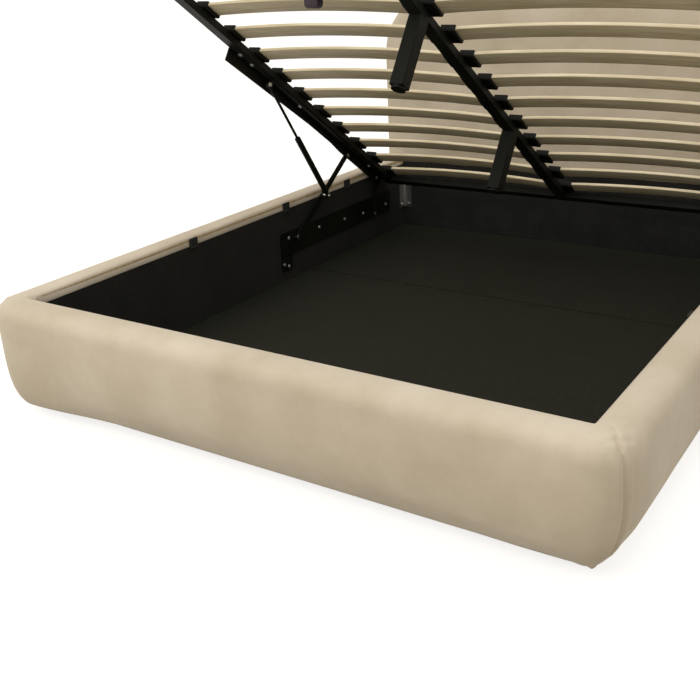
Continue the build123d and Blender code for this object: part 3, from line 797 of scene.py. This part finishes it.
overlap = 2 * mm
right_wall = long_wall("right_wall", headboard_front - foot_face + overlap)
put(right_wall, Matrix.Translation((half_width, foot_face - overlap, 0)))
left_wall = long_wall("left_wall", headboard_front - foot_face + overlap)
put(left_wall, Matrix.Translation((half_width, foot_face - overlap, 0)))
put(left_wall, Matrix.Scale(-1, 4, (1, 0, 0)))
edit(left_wall, "FACE", lambda f: True)
bpy.ops.mesh.normals_make_consistent(inside=False)
base_cover = join([foot_wall, right_wall, left_wall], "base_cover")
print("points of the base's form:", len(base_cover.data.vertices))

# %% [markdown]
# ## Headboard
#
# The headboard is a padded arch: a board with two large round corners, foam all round, and
# a soft rim. A block is given its two big corners first and then its soft rim, both with
# the bevel tool.

# %% The headboard's form
headboard_width, headboard_height = 1830 * mm, 1027 * mm
headboard_thickness, headboard_bottom = 100 * mm, 12 * mm
headboard_back = headboard_front + headboard_thickness
arch_radius, rim_radius = 245 * mm, 34 * mm
headboard = block(
    "headboard_cover",
    (-headboard_width / 2 + slack, headboard_front + slack, headboard_bottom),
    (headboard_width / 2 - slack, headboard_back - slack, headboard_height - slack),
)
edit(
    headboard,
    "EDGE",
    lambda e: middle(e).z > headboard_height - 2 * slack and abs(middle(e).x) > 0.5,
)
bpy.ops.mesh.bevel(offset=arch_radius, segments=22, affect="EDGES")
edit(
    headboard,
    "EDGE",
    lambda e: middle(e).z > 20 * mm
    and abs(e.verts[0].co.y - e.verts[1].co.y) < 1 * mm
    and sum(1 for f in e.link_faces if abs(f.normal.y) > 0.5) == 1,
)
bpy.ops.mesh.bevel(offset=rim_radius, segments=8, affect="EDGES")
bpy.ops.object.mode_set(mode="OBJECT")
print("headboard points:", len(headboard.data.vertices))

# %% [markdown]
# ## Stuffing the covers
#
# Foam pushes the cover out and the cover pulls the foam in, and a cloth simulation finds
# that balance. The cover is first rebuilt with even squares, so that it can bend the same
# way everywhere. It swells under a little pressure for twenty frames, and then no point is
# allowed to have moved further than the foam would let it.

# %% Swelling a cover with the cloth simulation


def swell(piece, grid, give, hold):
    """Swell a cover: give is the furthest that a point may move, hold its share there."""
    pick(piece)
    piece.data.remesh_voxel_size = grid
    bpy.ops.object.voxel_remesh()
    modify(piece, "SMOOTH", factor=0.5, iterations=8)
    start = np.array([v.co for v in piece.data.vertices])
    cloth = piece.modifiers.new("swelling", "CLOTH")
    cloth.settings.quality = 4
    cloth.settings.mass = 0.4
    cloth.settings.tension_stiffness = 12
    cloth.settings.compression_stiffness = 12
    cloth.settings.bending_stiffness = 1.0
    cloth.settings.use_pressure = True
    cloth.settings.uniform_pressure_force = 4
    cloth.settings.effector_weights.gravity = 0
    cloth.collision_settings.use_collision = False
    for step in range(1, 21):
        bpy.context.scene.frame_set(step)
    bpy.ops.object.modifier_apply(modifier=cloth.name)
    bpy.context.scene.frame_set(1)
    end = np.array([v.co for v in piece.data.vertices])
    step = end - start
    length = np.linalg.norm(step, axis=1)
    limit = give * np.array([hold(Vector(p)) for p in start])
    share = np.minimum(1.0, limit / np.maximum(length, 1e-9))
    moved = start + step * share[:, None]
    piece.data.vertices.foreach_set("co", moved.ravel())
    piece.data.update()
    print(piece.name, "moved at most", round(float((length * share).max()) * 1000, 1), "mm")


def outside_share(p):
    """1 on the outside of the base, near 0 on the walls' inner faces."""
    outside = max(abs(p.x) - half_width, foot_face - p.y)
    return min(1.0, max(0.05, outside / (30 * mm)))


swell(base_cover, 13 * mm, 8 * mm, outside_share)
swell(headboard, 14 * mm, 9 * mm, lambda p: 1.0)

# %% [markdown]
# Fabric is stretched over foam and boards that don't give way, so no point may end up
# inside them. Each point of the base's cover is looked at in the wall's section: across is
# its distance out from the inside of the bed. Below the widest line the foam is a rounded
# curve, blunter at the left front corner, where it bulges most. Above it come an upright
# part, a round shoulder, the crown and the slope down to the lining.

# %% Keeping the covers outside foam and boards
left_corner = Vector((-half_width, foot_face))
bulge_spread = 190 * mm
foam_bottom = 26 * mm
board_edge = 22 * mm
skirt_width = wall_thickness - belly_width
least_over_lining, least_over_crown = 2.6 * mm, 0.2 * mm
crown_start = lining_top + 8 * mm
shoulder_start = 60 * mm
near_foam = 0.99
pressed_in, crown_pressed_in = 1 * mm, 0.6 * mm


def over_foam(across, z, blunt):
    """A point of the section moved onto the foam's surface, if it lies inside the foam."""
    across = max(across, least_over_lining if z < lining_top else least_over_crown)
    belly_drop = belly_height - skirt_height
    shoulder_across, shoulder_height = wall_thickness - crown_radius, wall_height - crown_radius
    if z < belly_height and across > skirt_width:
        right = (across - skirt_width) / belly_width
        down = (belly_height - z) / belly_drop
        size = (right**blunt + down**blunt) ** (1 / blunt)
        if size < near_foam:
            across = skirt_width + right * belly_width * near_foam / size
            z = belly_height - down * belly_drop * near_foam / size
    elif across > shoulder_across and z > shoulder_height:
        right, up = across - shoulder_across, z - shoulder_height
        size = math.hypot(right, up) / (crown_radius - pressed_in)
        if size < 1:
            across, z = shoulder_across + right / size, shoulder_height + up / size
    elif across > shoulder_start:
        across = max(across, wall_thickness - pressed_in)
    elif z > crown_start:
        back = max(0.0, 1 - across / slope_width)
        crown = wall_height - slope_drop * (1 - math.sqrt(1 - back**2))
        z = max(z, crown - crown_pressed_in)
    return across, z


def over_boards(piece):
    """Keep the base's cover outside its foam, its boards and their lower corners."""
    low, corner_rise = 60 * mm, 2.2
    facing_down = [v.normal.z < -0.2 for v in piece.data.vertices]
    for vertex, underneath in zip(piece.data.vertices, facing_down):
        p = vertex.co
        beyond = Vector((max(abs(p.x) - half_width, 0.0), max(foot_face - p.y, 0.0)))
        inside = beyond.length < 1e-6
        across = max(abs(p.x) - half_width, foot_face - p.y) if inside else beyond.length
        near_left = math.exp(-(((p.xy - left_corner).length / bulge_spread) ** 2))
        new_across, new_z = over_foam(across, p.z, 2 + 2 * near_left)
        if inside:
            if abs(p.x) - half_width >= foot_face - p.y:
                p.x = math.copysign(half_width + new_across, p.x)
            else:
                p.y = foot_face - new_across
        else:
            step = beyond * (new_across - across) / across
            p.x += math.copysign(step.x, p.x)
            p.y -= step.y
        p.z = new_z
        if p.z < low and underneath:
            past_board = max(abs(p.x) - half_width, foot_face - p.y) - board_edge
            p.z = min(p.z, foam_bottom + corner_rise * max(0.0, past_board))


# %% [markdown]
# One subdivision rounds the squares that the simulation leaves. Where the swollen cover
# and the foam's surface meet there would be a crease, and smoothing the outside takes it
# away. The headboard stays flat behind the lining, and bulges more and more above it.

# %% Rounding the covers
for piece in (base_cover, headboard):
    modify(piece, "SUBSURF", levels=1, render_levels=1)
over_boards(base_cover)
flat_edge, skirt_edge = 12 * mm, 40 * mm
edit(
    base_cover,
    "VERT",
    lambda v: max(abs(v.co.x) - half_width, foot_face - v.co.y) > flat_edge
    and v.co.z > skirt_edge,
)
bpy.ops.mesh.vertices_smooth(factor=0.5, repeat=30)
bpy.ops.object.mode_set(mode="OBJECT")
most_bulge, bulge_rise, lining_gap = 7 * mm, 160 * mm, 0.3 * mm
for vertex in headboard.data.vertices:
    bulge = most_bulge * min(1.0, max(0.0, (vertex.co.z - wall_height) / bulge_rise))
    vertex.co.y = max(vertex.co.y, headboard_front + lining_gap - bulge)
print("lowest point of the cover:", round(min(v.co.z for v in base_cover.data.vertices), 4))

# %% [markdown]
# At the front corners the fabric is folded over itself and stapled underneath. That leaves
# a soft upright fold and two short ones on and under the crown. A fold is made like a
# crease that a finger presses in: a groove that follows a path, with a low swelling on
# both sides of it.

# %% Pressing a fold into a cover


def fold(piece, path, depth, width):
    """Press a soft groove into the cover along a path, with a low swelling beside it."""
    points = np.array([v.co for v in piece.data.vertices])
    normals = np.array([v.normal for v in piece.data.vertices])
    nearest = np.full(len(points), 1.0)
    for first, last in zip(path[:-1], path[1:]):
        first, last = np.array(first), np.array(last)
        step = last - first
        share = np.clip((points - first) @ step / (step @ step), 0, 1)
        nearest = np.minimum(
            nearest, np.linalg.norm(points - first - share[:, None] * step, axis=1)
        )
    groove = np.exp(-((nearest / width) ** 2))
    swelling = 0.3 * np.exp(-(((nearest - 2.6 * width) / (1.4 * width)) ** 2))
    points += normals * (depth * (swelling - groove))[:, None]
    piece.data.vertices.foreach_set("co", points.ravel())
    piece.data.update()


# %% [markdown]
# A fold is drawn on the foam's own surface, by how far it has turned round the corner from
# the side wall and how high it is there. Both front corners have the same folds, one the
# mirror image of the other.

# %% Where the folds run


def crown_at(across):
    """The height of the foam's crown and shoulder at a distance out from the lining."""
    past_crown = max(0.0, across - (wall_thickness - crown_radius))
    return wall_height - crown_radius + math.sqrt(crown_radius**2 - past_crown**2)


def reach_at(height):
    """How far out from the lining the foam reaches at a height."""
    above = max(0.0, height - (wall_height - crown_radius))
    below = max(0.0, belly_height - height) / (belly_height - skirt_height)
    shoulder = wall_thickness - crown_radius + math.sqrt(crown_radius**2 - above**2)
    return shoulder - belly_width * (1 - math.sqrt(1 - below**2))


def round_corner(side, turn, across, height):
    """A point at a front corner, turned so many degrees from the side wall to the foot."""
    turn = math.radians(turn)
    out = half_width + across * math.cos(turn)
    return (side * out, foot_face - across * math.sin(turn), height)


def between(start, end, share):
    """A value on the way from start to end."""
    return start + (end - start) * share


def corner_folds(side):
    """The paths of the crown, cross and upright folds at one front corner."""
    crown, cross, upright = [], [], []
    steps = 12
    for share in (step / steps for step in range(steps + 1)):
        across = between(26 * mm, 72 * mm, share)
        crown.append(round_corner(side, between(0, 34, share), across, crown_at(across)))
        across = between(73 * mm, 85 * mm, share)
        cross.append(round_corner(side, between(49, 14, share), across, crown_at(across)))
        height = between(338 * mm, 56 * mm, share)
        upright.append(round_corner(side, between(35, 20, share), reach_at(height), height))
    return crown, cross, upright


print("points of one upright fold:", len(corner_folds(1)[2]))

# %% [markdown]
# The squares at the corners are divided once more before the folds are pressed in, because
# a fold is narrower than a square. Where the fabric goes round the right corner of the
# board, its edge hangs down in a small point.

# %% Folding the corners
beyond_side, behind_foot = 8 * mm, 12 * mm
edit(
    base_cover,
    "FACE",
    lambda f: abs(middle(f).x) > half_width + beyond_side
    and middle(f).y < foot_face + behind_foot,
)
bpy.ops.mesh.subdivide(number_cuts=1)
bpy.ops.mesh.vertices_smooth(factor=0.5, repeat=2)
bpy.ops.object.mode_set(mode="OBJECT")
board_corner = Vector((834 * mm, -1060 * mm))
point_drop, point_width = 6 * mm, 14 * mm
point_reach, point_top = 60 * mm, 75 * mm
for side in (1, -1):
    crown, cross, upright = corner_folds(side)
    fold(base_cover, crown, 3 * mm, 5 * mm)
    fold(base_cover, cross, 3 * mm, 5 * mm)
    fold(base_cover, upright, 5.5 * mm, 5.5 * mm)
for vertex in base_cover.data.vertices:
    away = (vertex.co.xy - board_corner).length
    if away < point_reach and vertex.co.z < point_top:
        vertex.co.z -= point_drop * math.exp(-((away / point_width) ** 2))
dress(
    base_cover,
    "fabric_cover",
    "bed_base",
    "foot_upholstery",
    "right_side_upholstery",
    "left_side_upholstery",
    smooth=180,
)
dress(headboard, "fabric_cover", "bed_base", "headboard_upholstery", smooth=180)

# %% [markdown]
# ## Slats
#
# Each slat is glued up from veneers in a bowed mould, so that it springs under the
# mattress. It is made as a straight lath with softened edges, cut into short lengths along
# its grain, and bent by the bend modifier. Before the bend, each point keeps its place as
# an attribute, and the birch material reads that, so the grain follows the bow.

# %% One slat
slat_near, slat_far = 8 * mm, 783 * mm
slat_width, slat_thickness, slat_rise = 60 * mm, 10 * mm, 15 * mm
slat_underside = 30 * mm
slat_span = slat_far - slat_near
bow_radius = (slat_span**2 / 4 + slat_rise**2) / (2 * slat_rise)
bow_angle = 2 * math.asin(slat_span / 2 / bow_radius)
lath_half = bow_radius * bow_angle / 2
lath = block(
    "slat",
    (-lath_half, -slat_thickness / 2, -slat_width / 2),
    (lath_half, slat_thickness / 2, slat_width / 2),
    1.6 * mm,
    3,
)
edit(lath, "EDGE", lambda e: abs(e.verts[0].co.x - e.verts[1].co.x) > lath_half)
bpy.ops.mesh.subdivide(number_cuts=27)
bpy.ops.object.mode_set(mode="OBJECT")
flat = lath.data.attributes.new("flat_place", "FLOAT_VECTOR", "POINT")
flat.data.foreach_set("vector", [c for v in lath.data.vertices for c in v.co])
modify(lath, "SIMPLE_DEFORM", deform_method="BEND", deform_axis="Z", angle=-bow_angle)
put(lath, Matrix.Rotation(math.pi / 2, 4, "X"))
slat_height = slat_underside + slat_rise + slat_thickness / 2
put(lath, Matrix.Translation(((slat_near + slat_far) / 2, 0, slat_height)))
modify(lath, "MIRROR", use_axis=(True, False, False), use_mirror_merge=False)
print("one row of two slats, faces:", len(lath.data.polygons))

# %% [markdown]
# The slats lie in fourteen equal rows up the frame. Each row is a copy of the first, and
# its grain is read from another place in the wood, so that no two slats look the same.

# %% Fourteen rows of slats
slat_rows, first_slat, slat_pitch = 14, 57.5 * mm, 141.6 * mm
row_places = [tipped(from_head=first_slat + slat_pitch * row) for row in range(slat_rows)]
for row, piece in enumerate(copies(lath, row_places)):
    piece.name = f"slats_{row + 1:02d}"
    other_sheet = Vector((0.83 * row, 0.31 * row, 0.17 * row))
    grain_places = piece.data.attributes["flat_place"].data
    for number, vertex in enumerate(piece.data.vertices):
        side_shift = Vector((0, 0.5, 0)) if vertex.co.x < 0 else Vector()
        grain_places[number].vector = grain_places[number].vector + other_sheet + side_shift
    dress(piece, "slat_wood", "lift_frame", f"slat_row_{row + 1:02d}")

# %% [markdown]
# Each slat end sits in a moulded plastic cap that is pushed onto the tube. The cap is a
# rounded block. Its mouth is made with inset and extrude, its back has three stiffening
# ribs, and one cap is copied to all 56 places.

# %% The slat holders
cap_width, cap_length, cap_height = 47 * mm, 69 * mm, 21.5 * mm
tube_top = 25 * mm
rail_cap_x, beam_cap_x = 741 * mm, 50 * mm
low, high = (0, -cap_length / 2, 0), (cap_width, cap_length / 2, cap_height)
cap = block("slat_holder", low, high, 3 * mm, 3)
edit(cap, "FACE", lambda f: f.normal.x < -0.99 and f.calc_area() > 100 * mm**2)
bpy.ops.mesh.inset(thickness=1.3 * mm, depth=0)
bpy.ops.transform.translate(value=(0, 0, 1.6 * mm))
bpy.ops.mesh.extrude_region_move(TRANSFORM_OT_translate={"value": (40 * mm, 0, -3 * mm)})
bpy.ops.object.mode_set(mode="OBJECT")
ribs = []
for y in (-22, 0, 22):
    low = (6 * mm, (y - 1.5) * mm, cap_height - 1 * mm)
    high = (40 * mm, (y + 1.5) * mm, cap_height + 1.2 * mm)
    ribs.append(block("rib", low, high, 0.8 * mm, 2))
skirt = block("skirt", (1.5 * mm, -31 * mm, -1.5 * mm), (12 * mm, 31 * mm, 1 * mm), 1 * mm, 2)
cap = join([cap, *ribs, skirt], "slat_holder")
caps = []
for row in row_places:
    caps.append(row @ Matrix.Translation((rail_cap_x, 0, tube_top)))
    turned = Matrix.Rotation(math.pi, 4, "Z")
    caps.append(row @ Matrix.Translation((beam_cap_x, 0, tube_top)) @ turned)
holders = mirrored(copies(cap, caps), "slat_holders_black")
dress(holders, "black_plastic", "lift_frame", "slat_holders")

# %% [markdown]
# ## Bolts and pins
#
# The bolts are modelled one by one, each with its head pointing up, and then turned and
# moved to their places. A button head has a domed rim and a hexagon socket, which the
# boolean modifier cuts with a six-sided bar. A hexagon head has a chamfered top and stands
# on a washer.

# %% Heads and nuts


def button_head(radius, height):
    """A domed screw head with a hexagon socket, standing on z = 0."""
    head = rod("button_head", radius, (0, 0, 0), (0, 0, height), 28)
    edit(head, "EDGE", lambda e: middle(e).z > height * 0.99 and e.calc_length() < radius)
    bpy.ops.mesh.bevel(offset=height * 0.62, segments=4, affect="EDGES")
    bpy.ops.object.mode_set(mode="OBJECT")
    socket = rod("socket", radius * 0.42, (0, 0, height * 0.3), (0, 0, height * 2), 6)
    modify(head, "BOOLEAN", object=socket, operation="DIFFERENCE", solver="EXACT")
    bpy.data.objects.remove(socket)
    return head


def hexagon_head(radius, height):
    """A hexagon head on its washer, standing on z = 0."""
    washer = rod("washer", radius * 1.18, (0, 0, 0), (0, 0, height * 0.2), 32)
    modify(washer, "BEVEL", width=0.25 * mm, segments=2, limit_method="ANGLE")
    head = rod("hexagon", radius, (0, 0, height * 0.2), (0, 0, height), 6)
    edit(head, "VERT", lambda v: v.co.z > height * 0.99)
    bpy.ops.mesh.bevel(offset=radius * 0.14, segments=2, affect="VERTICES")
    bpy.ops.object.mode_set(mode="OBJECT")
    modify(head, "BEVEL", width=0.3 * mm, segments=2, limit_method="ANGLE")
    return join([head, washer], "hexagon_head")


def turned_pin(radii, ends):
    """A pin of several round steps along x, each with its own radius and its two ends."""
    steps = []
    for radius, (start, end) in zip(radii, ends):
        step = rod("step", radius, (start, 0, 0), (end, 0, 0), 32)
        modify(step, "BEVEL", width=0.5 * mm, segments=2, limit_method="ANGLE")
        steps.append(step)
    return join(steps, "pin")


facing_inwards = Matrix.Rotation(-math.pi / 2, 4, "Y")
facing_the_foot = Matrix.Rotation(math.pi / 2, 4, "X")
facing_down = Matrix.Rotation(math.pi, 4, "X")

# %% [markdown]
# Seven bolts hold each base plate to its wall, and four more each bracket at the head end.
# The places of the seven are shares of the plate's length, from its foot end, and of its
# depth, from its top.

# %% Bolts in the walls
plate_face = 807 * mm
plate_foot_y, plate_top_z = 106.5 * mm, 223 * mm
plate_length, plate_depth = 790 * mm, 148 * mm
wall_bolt_shares = (
    (0.065, 0.17),
    (0.32, 0.225),
    (0.548, 0.3),
    (0.725, 0.37),
    (0.954, 0.385),
    (0.018, 0.81),
    (0.053, 0.90),
)
places = []
for along, down in wall_bolt_shares:
    spot = (plate_face, plate_foot_y + plate_length * along, plate_top_z - plate_depth * down)
    places.append(Matrix.Translation(spot) @ facing_inwards)
wall_heads = copies(button_head(7.5 * mm, 3 * mm), places)
bracket_bolt_step = 24.6 * mm
places = []
for height in (134 * mm, 224 * mm):
    spot = (half_width - 3 * mm, head_face - bracket_bolt_step, height)
    places.append(Matrix.Translation(spot) @ facing_inwards)
    spot = (half_width - bracket_bolt_step, head_face - 3 * mm, height)
    places.append(Matrix.Translation(spot) @ facing_the_foot)
wall_heads += copies(button_head(5 * mm, 3 * mm), places)
bolts = mirrored(wall_heads, "wall_bolt_heads")
dress(bolts, "zinc_steel", "bed_base", "wall_bolts")

# %% [markdown]
# Four hexagon bolts go up through each angle plate into its rail, at shares of its length
# from its head end. The plain nuts of the rear link and of the strut sit on the same
# plates. The centre beam has two screws where its legs are held, and three small ones near
# its head end.

# %% Bolts in the frame
bolt_line = 778 * mm
plate_underside = -4 * mm
plate_start, plate_reach = 60, 1104
plate_bolt_shares = (0.127, 0.62, 0.9, 0.961)
places = [
    tipped(bolt_line, (plate_start + plate_reach * share) * mm, plate_underside) @ facing_down
    for share in plate_bolt_shares
]
frame_heads = copies(hexagon_head(7.5 * mm, 4.5 * mm), places)
rear_pivot_from_head, rear_pivot_drop = 95 * mm, 12 * mm
strut_pivot_from_head = 945.5 * mm
rear_joint = tipped(793 * mm, rear_pivot_from_head, -rear_pivot_drop) @ facing_inwards
facing_outwards = Matrix.Rotation(math.pi / 2, 4, "Y")
strut_joint = tipped(797 * mm, strut_pivot_from_head, -pivot_drop) @ facing_outwards
frame_heads += copies(hexagon_head(6.6 * mm, 3 * mm), [rear_joint, strut_joint])
bolts = mirrored(frame_heads, "frame_bolt_heads")
beam_side, beam_middle = -20 * mm, 12.5 * mm
beam_heads = []
for radius, height, from_head in ((6, 2.4, (606, 1324)), (3.6, 1.6, (48, 66, 84))):
    places = [tipped(beam_side, y * mm, beam_middle) @ facing_inwards for y in from_head]
    beam_heads += copies(button_head(radius * mm, height * mm), places)
bolts = join([bolts, *beam_heads], "frame_bolt_heads")
dress(bolts, "zinc_steel", "lift_frame", "top_plate_bolts")

# %% [markdown]
# The turning joints have stepped pins: a wide head on the inside, and a collar that keeps
# the moving bar off the plate.

# %% Pins of the joints
arm_foot = joint_places["arm_pivot"]
link_foot = joint_places["rear_link_pivot"]
arm_head = joint_places["frame_pivot"]
strut_foot = joint_places["strut_pivot"]
link_head = tipped(0, rear_pivot_from_head, -rear_pivot_drop).translation
strut_head = tipped(0, strut_pivot_from_head, -pivot_drop).translation


def along_x(values):
    """Pairs of distances from the bed's middle plane, in metres."""
    return [(start * mm, end * mm) for start, end in values]


pin = turned_pin(
    (8.8 * mm, 5.9 * mm, 8.8 * mm), along_x([(794.8, 797.8), (794.8, 808), (803.2, 806.8)])
)
pins = copies(pin, [Matrix.Translation(arm_foot), Matrix.Translation(link_foot)])
dress(mirrored(pins, "base_pins"), "zinc_steel", "bed_base", "base_pivot_pins")

frame_pin = turned_pin(
    (5.9 * mm, 8.8 * mm, 8.8 * mm), along_x([(789.8, 806), (789.8, 792.8), (803.2, 806)])
)
put(frame_pin, Matrix.Translation(arm_head))
stud = turned_pin(
    (4.9 * mm, 7.6 * mm, 7.6 * mm, 7.6 * mm),
    along_x([(767.5, 805), (767.9, 769.7), (782.3, 798), (803.2, 805)]),
)
put(stud, Matrix.Translation(strut_foot))
nut = hexagon_head(6.5 * mm, 4 * mm)
put(nut, Matrix.Translation(strut_foot + Vector((767.8 * mm, 0, 0))) @ facing_inwards)
dress(mirrored([frame_pin, stud, nut], "arm_pins_turned"), "zinc_steel", "front_arms", "arm_pins")

link_pin = turned_pin((5.9 * mm, 8.8 * mm), along_x([(797.4, 806), (803.2, 806)]))
put(link_pin, Matrix.Translation(link_head))
dress(mirrored([link_pin], "link_pins_turned"), "zinc_steel", "rear_links", "rear_link_pins")

# %% [markdown]
# ## Gas struts
#
# A gas strut is a drawn steel tube full of nitrogen with a thin piston rod. The tube is
# rolled in at its mouth to hold the seal, and each end screws into a flat eye. Both are
# modelled standing on their lower joint and then leaned over.

# %% The two parts of a strut
strut_line = strut_head - strut_foot
strut_length = strut_line.length
lean = Matrix.Rotation(math.atan2(-strut_line.y, strut_line.z), 4, "X")
strut_place = Matrix.Translation(strut_foot + Vector((776 * mm, 0, 0))) @ lean
tube_start, tube_end = 18 * mm, 305 * mm
tube = rod("tube", 11 * mm, (0, 0, tube_start), (0, 0, tube_end), 48)
edit(
    tube,
    "EDGE",
    lambda e: abs(e.verts[0].co.z - e.verts[1].co.z) < 1e-6 and e.calc_length() < 5 * mm,
)
bpy.ops.mesh.bevel(offset=2.4 * mm, segments=4, affect="EDGES")
edit(tube, "FACE", lambda f: f.normal.z > 0.99)
bpy.ops.mesh.inset(thickness=2.2 * mm, depth=0)
bpy.ops.mesh.extrude_region_move(TRANSFORM_OT_translate={"value": (0, 0, -1.2 * mm)})
bpy.ops.object.mode_set(mode="OBJECT")


def strut_eye(name, height, towards, radius):
    """A flat eye around a joint, with the threaded shank that joins it to its bar."""
    eye = rod(name, radius, (-6 * mm, 0, height), (6 * mm, 0, height), 36)
    modify(eye, "BEVEL", width=1.2 * mm, segments=3, limit_method="ANGLE")
    start, end = height + towards * 8 * mm, height + towards * 19 * mm
    shank = rod("shank", 5.4 * mm, (0, 0, start), (0, 0, end), 24)
    modify(shank, "BEVEL", width=0.6 * mm, segments=2, limit_method="ANGLE")
    start, end = height + towards * 13 * mm, height + towards * 17.5 * mm
    lock = rod("lock_nut", 7.2 * mm, (0, 0, start), (0, 0, end), 6)
    modify(lock, "BEVEL", width=0.5 * mm, segments=2, limit_method="ANGLE")
    return join([eye, shank, lock], name)


tube = join([tube, strut_eye("tube_eye", 0, 1, 10.8 * mm)], "strut_tube")
put(tube, strut_place)
tubes = mirrored([tube], "strut_tubes_black")
dress(tubes, "black_steel", "strut_tubes", "left_strut_tube", "right_strut_tube")

piston_rod = rod("piston_rod", 5 * mm, (0, 0, 280 * mm), (0, 0, strut_length - 8 * mm), 32)
end_bolts = hexagon_head(7 * mm, 4.6 * mm)
put(end_bolts, strut_place @ Matrix.Translation((-6 * mm, 0, strut_length)) @ facing_inwards)
dress(mirrored([end_bolts], "rod_end_bolts"), "zinc_steel", "strut_rods")
stud = rod("rod_stud", 4 * mm, (5 * mm, 0, strut_length), (16.6 * mm, 0, strut_length), 24)
piston_rod = join([piston_rod, strut_eye("rod_eye", strut_length, -1, 9.8 * mm), stud], "strut_rod")
put(piston_rod, strut_place)
rods = mirrored([piston_rod], "strut_rods_black")
dress(rods, "black_steel", "strut_rods", "left_strut_rod", "right_strut_rod")

# %% [markdown]
# ## Buffers, glides and strap
#
# Six rubber buffers keep the frame's tubes off the walls. Each is a soft-edged pad with a
# shallow tray pressed into its face, and a screw in the tray.

# %% Rubber buffers
pad = block("buffer", (-5.9 * mm, -19 * mm, -18 * mm), (0, 19 * mm, 18 * mm), 1.8 * mm, 3)
edit(pad, "FACE", lambda f: f.normal.x < -0.99 and f.calc_area() > 500 * mm**2)
bpy.ops.mesh.inset(thickness=4 * mm, depth=0)
bpy.ops.mesh.inset(thickness=1.2 * mm, depth=-1.4 * mm)
bpy.ops.object.mode_set(mode="OBJECT")
buffer_height, buffers_from_foot = 317 * mm, (671, 1184, 1597)
screw = button_head(4 * mm, 1.6 * mm)
put(screw, Matrix.Translation((-4.6 * mm, 0, 0)) @ facing_inwards)
pad = join([pad, screw], "buffer")
places = []
for from_foot in buffers_from_foot:
    spot = (half_width, foot_face + from_foot * mm, buffer_height)
    places.append(Matrix.Translation(spot))
dress(mirrored(copies(pad, places), "rubber_buffers"), "black_rubber", "bed_base", "side_buffers")

# %% [markdown]
# The pull strap hangs from the foot bar as a loop of webbing. A ring of points is drawn out
# into a long loop, pulled sideways into a band, and given its thickness. Rows of stitches
# close it under the bar.

# %% The pull strap
bpy.ops.object.select_all(action="DESELECT")
bpy.ops.mesh.primitive_circle_add(vertices=40, radius=12.6 * mm, rotation=(0, math.pi / 2, 0))
strap = bpy.context.object
strap.name = "pull_loop"
bpy.ops.object.transform_apply(location=True, rotation=True, scale=True)
edit(strap, "VERT", lambda v: v.co.z > 1 * mm)
bpy.ops.transform.translate(value=(0, 0, 272 * mm))
bpy.ops.transform.resize(value=(1, 0.26, 0.26), center_override=(0, 0, 284 * mm))
edit(strap, "EDGE", lambda e: e.calc_length() > 100 * mm)
bpy.ops.mesh.subdivide(number_cuts=16)
bpy.ops.mesh.select_all(action="SELECT")
bpy.ops.mesh.extrude_region_move(TRANSFORM_OT_translate={"value": (35 * mm, 0, 0)})
bpy.ops.mesh.select_all(action="SELECT")
bpy.ops.mesh.normals_make_consistent(inside=False)
bpy.ops.object.mode_set(mode="OBJECT")
modify(strap, "SOLIDIFY", thickness=2.2 * mm, offset=-1)
modify(strap, "BEVEL", width=0.5 * mm, segments=2, limit_method="ANGLE")
stitches = []
for z in (232, 244):
    for x in range(3, 31, 4):
        low, high = (x * mm, -6.2 * mm, z * mm), ((x + 3) * mm, 6.2 * mm, (z + 1) * mm)
        stitches.append(block("stitch", low, high, 0.4 * mm, 2))
strap = join([strap, *stitches], "pull_loop")
strap_left, strap_length = 16.5 * mm, 285 * mm
foot_bar_from_head = 1978.9 * mm
strap_top = tipped(from_head=foot_bar_from_head, height=-4 * mm).translation
put(strap, Matrix.Translation((strap_left, strap_top.y, strap_top.z - strap_length)))
dress(strap, "strap_webbing", "pull_strap", "lift_strap")

# %% [markdown]
# ## Tubes, plates and boards
#
# The measured solids of the tubes, plates, arms and boards already have the right shape.
# Real edges are never sharp, so these solids keep their mesh and get a live weld and a
# narrow bevel, which catches the light along every edge.

# %% Softening the edges of the measured solids
softened = {
    "left_frame_rail": 1.0,
    "right_frame_rail": 1.0,
    "centre_beam": 1.0,
    "head_bar": 1.0,
    "foot_bar": 1.0,
    "left_top_plate": 0.6,
    "right_top_plate": 0.6,
    "left_front_arm": 0.7,
    "right_front_arm": 0.7,
    "left_rear_link": 0.7,
    "right_rear_link": 0.7,
    "left_base_plate": 0.5,
    "right_base_plate": 0.5,
    "corner_brackets": 0.5,
    "front_centre_leg": 1.0,
    "rear_centre_leg": 1.0,
    "leg_glides": 1.5,
    "bed_feet": 1.5,
    "front_floor_panel": 0.8,
    "rear_floor_panel": 0.8,
}
for name, width in softened.items():
    node = frame["nodes"][name]
    weld = node.modifiers.new("weld", "WELD")
    weld.merge_threshold = 0.02 * mm
    edges = node.modifiers.new("soft_edges", "BEVEL")
    edges.width = width * mm
    edges.segments = 2
    edges.limit_method = "ANGLE"
    edges.angle_limit = math.radians(40)
    edges.harden_normals = True
print("softened solids:", len(softened))
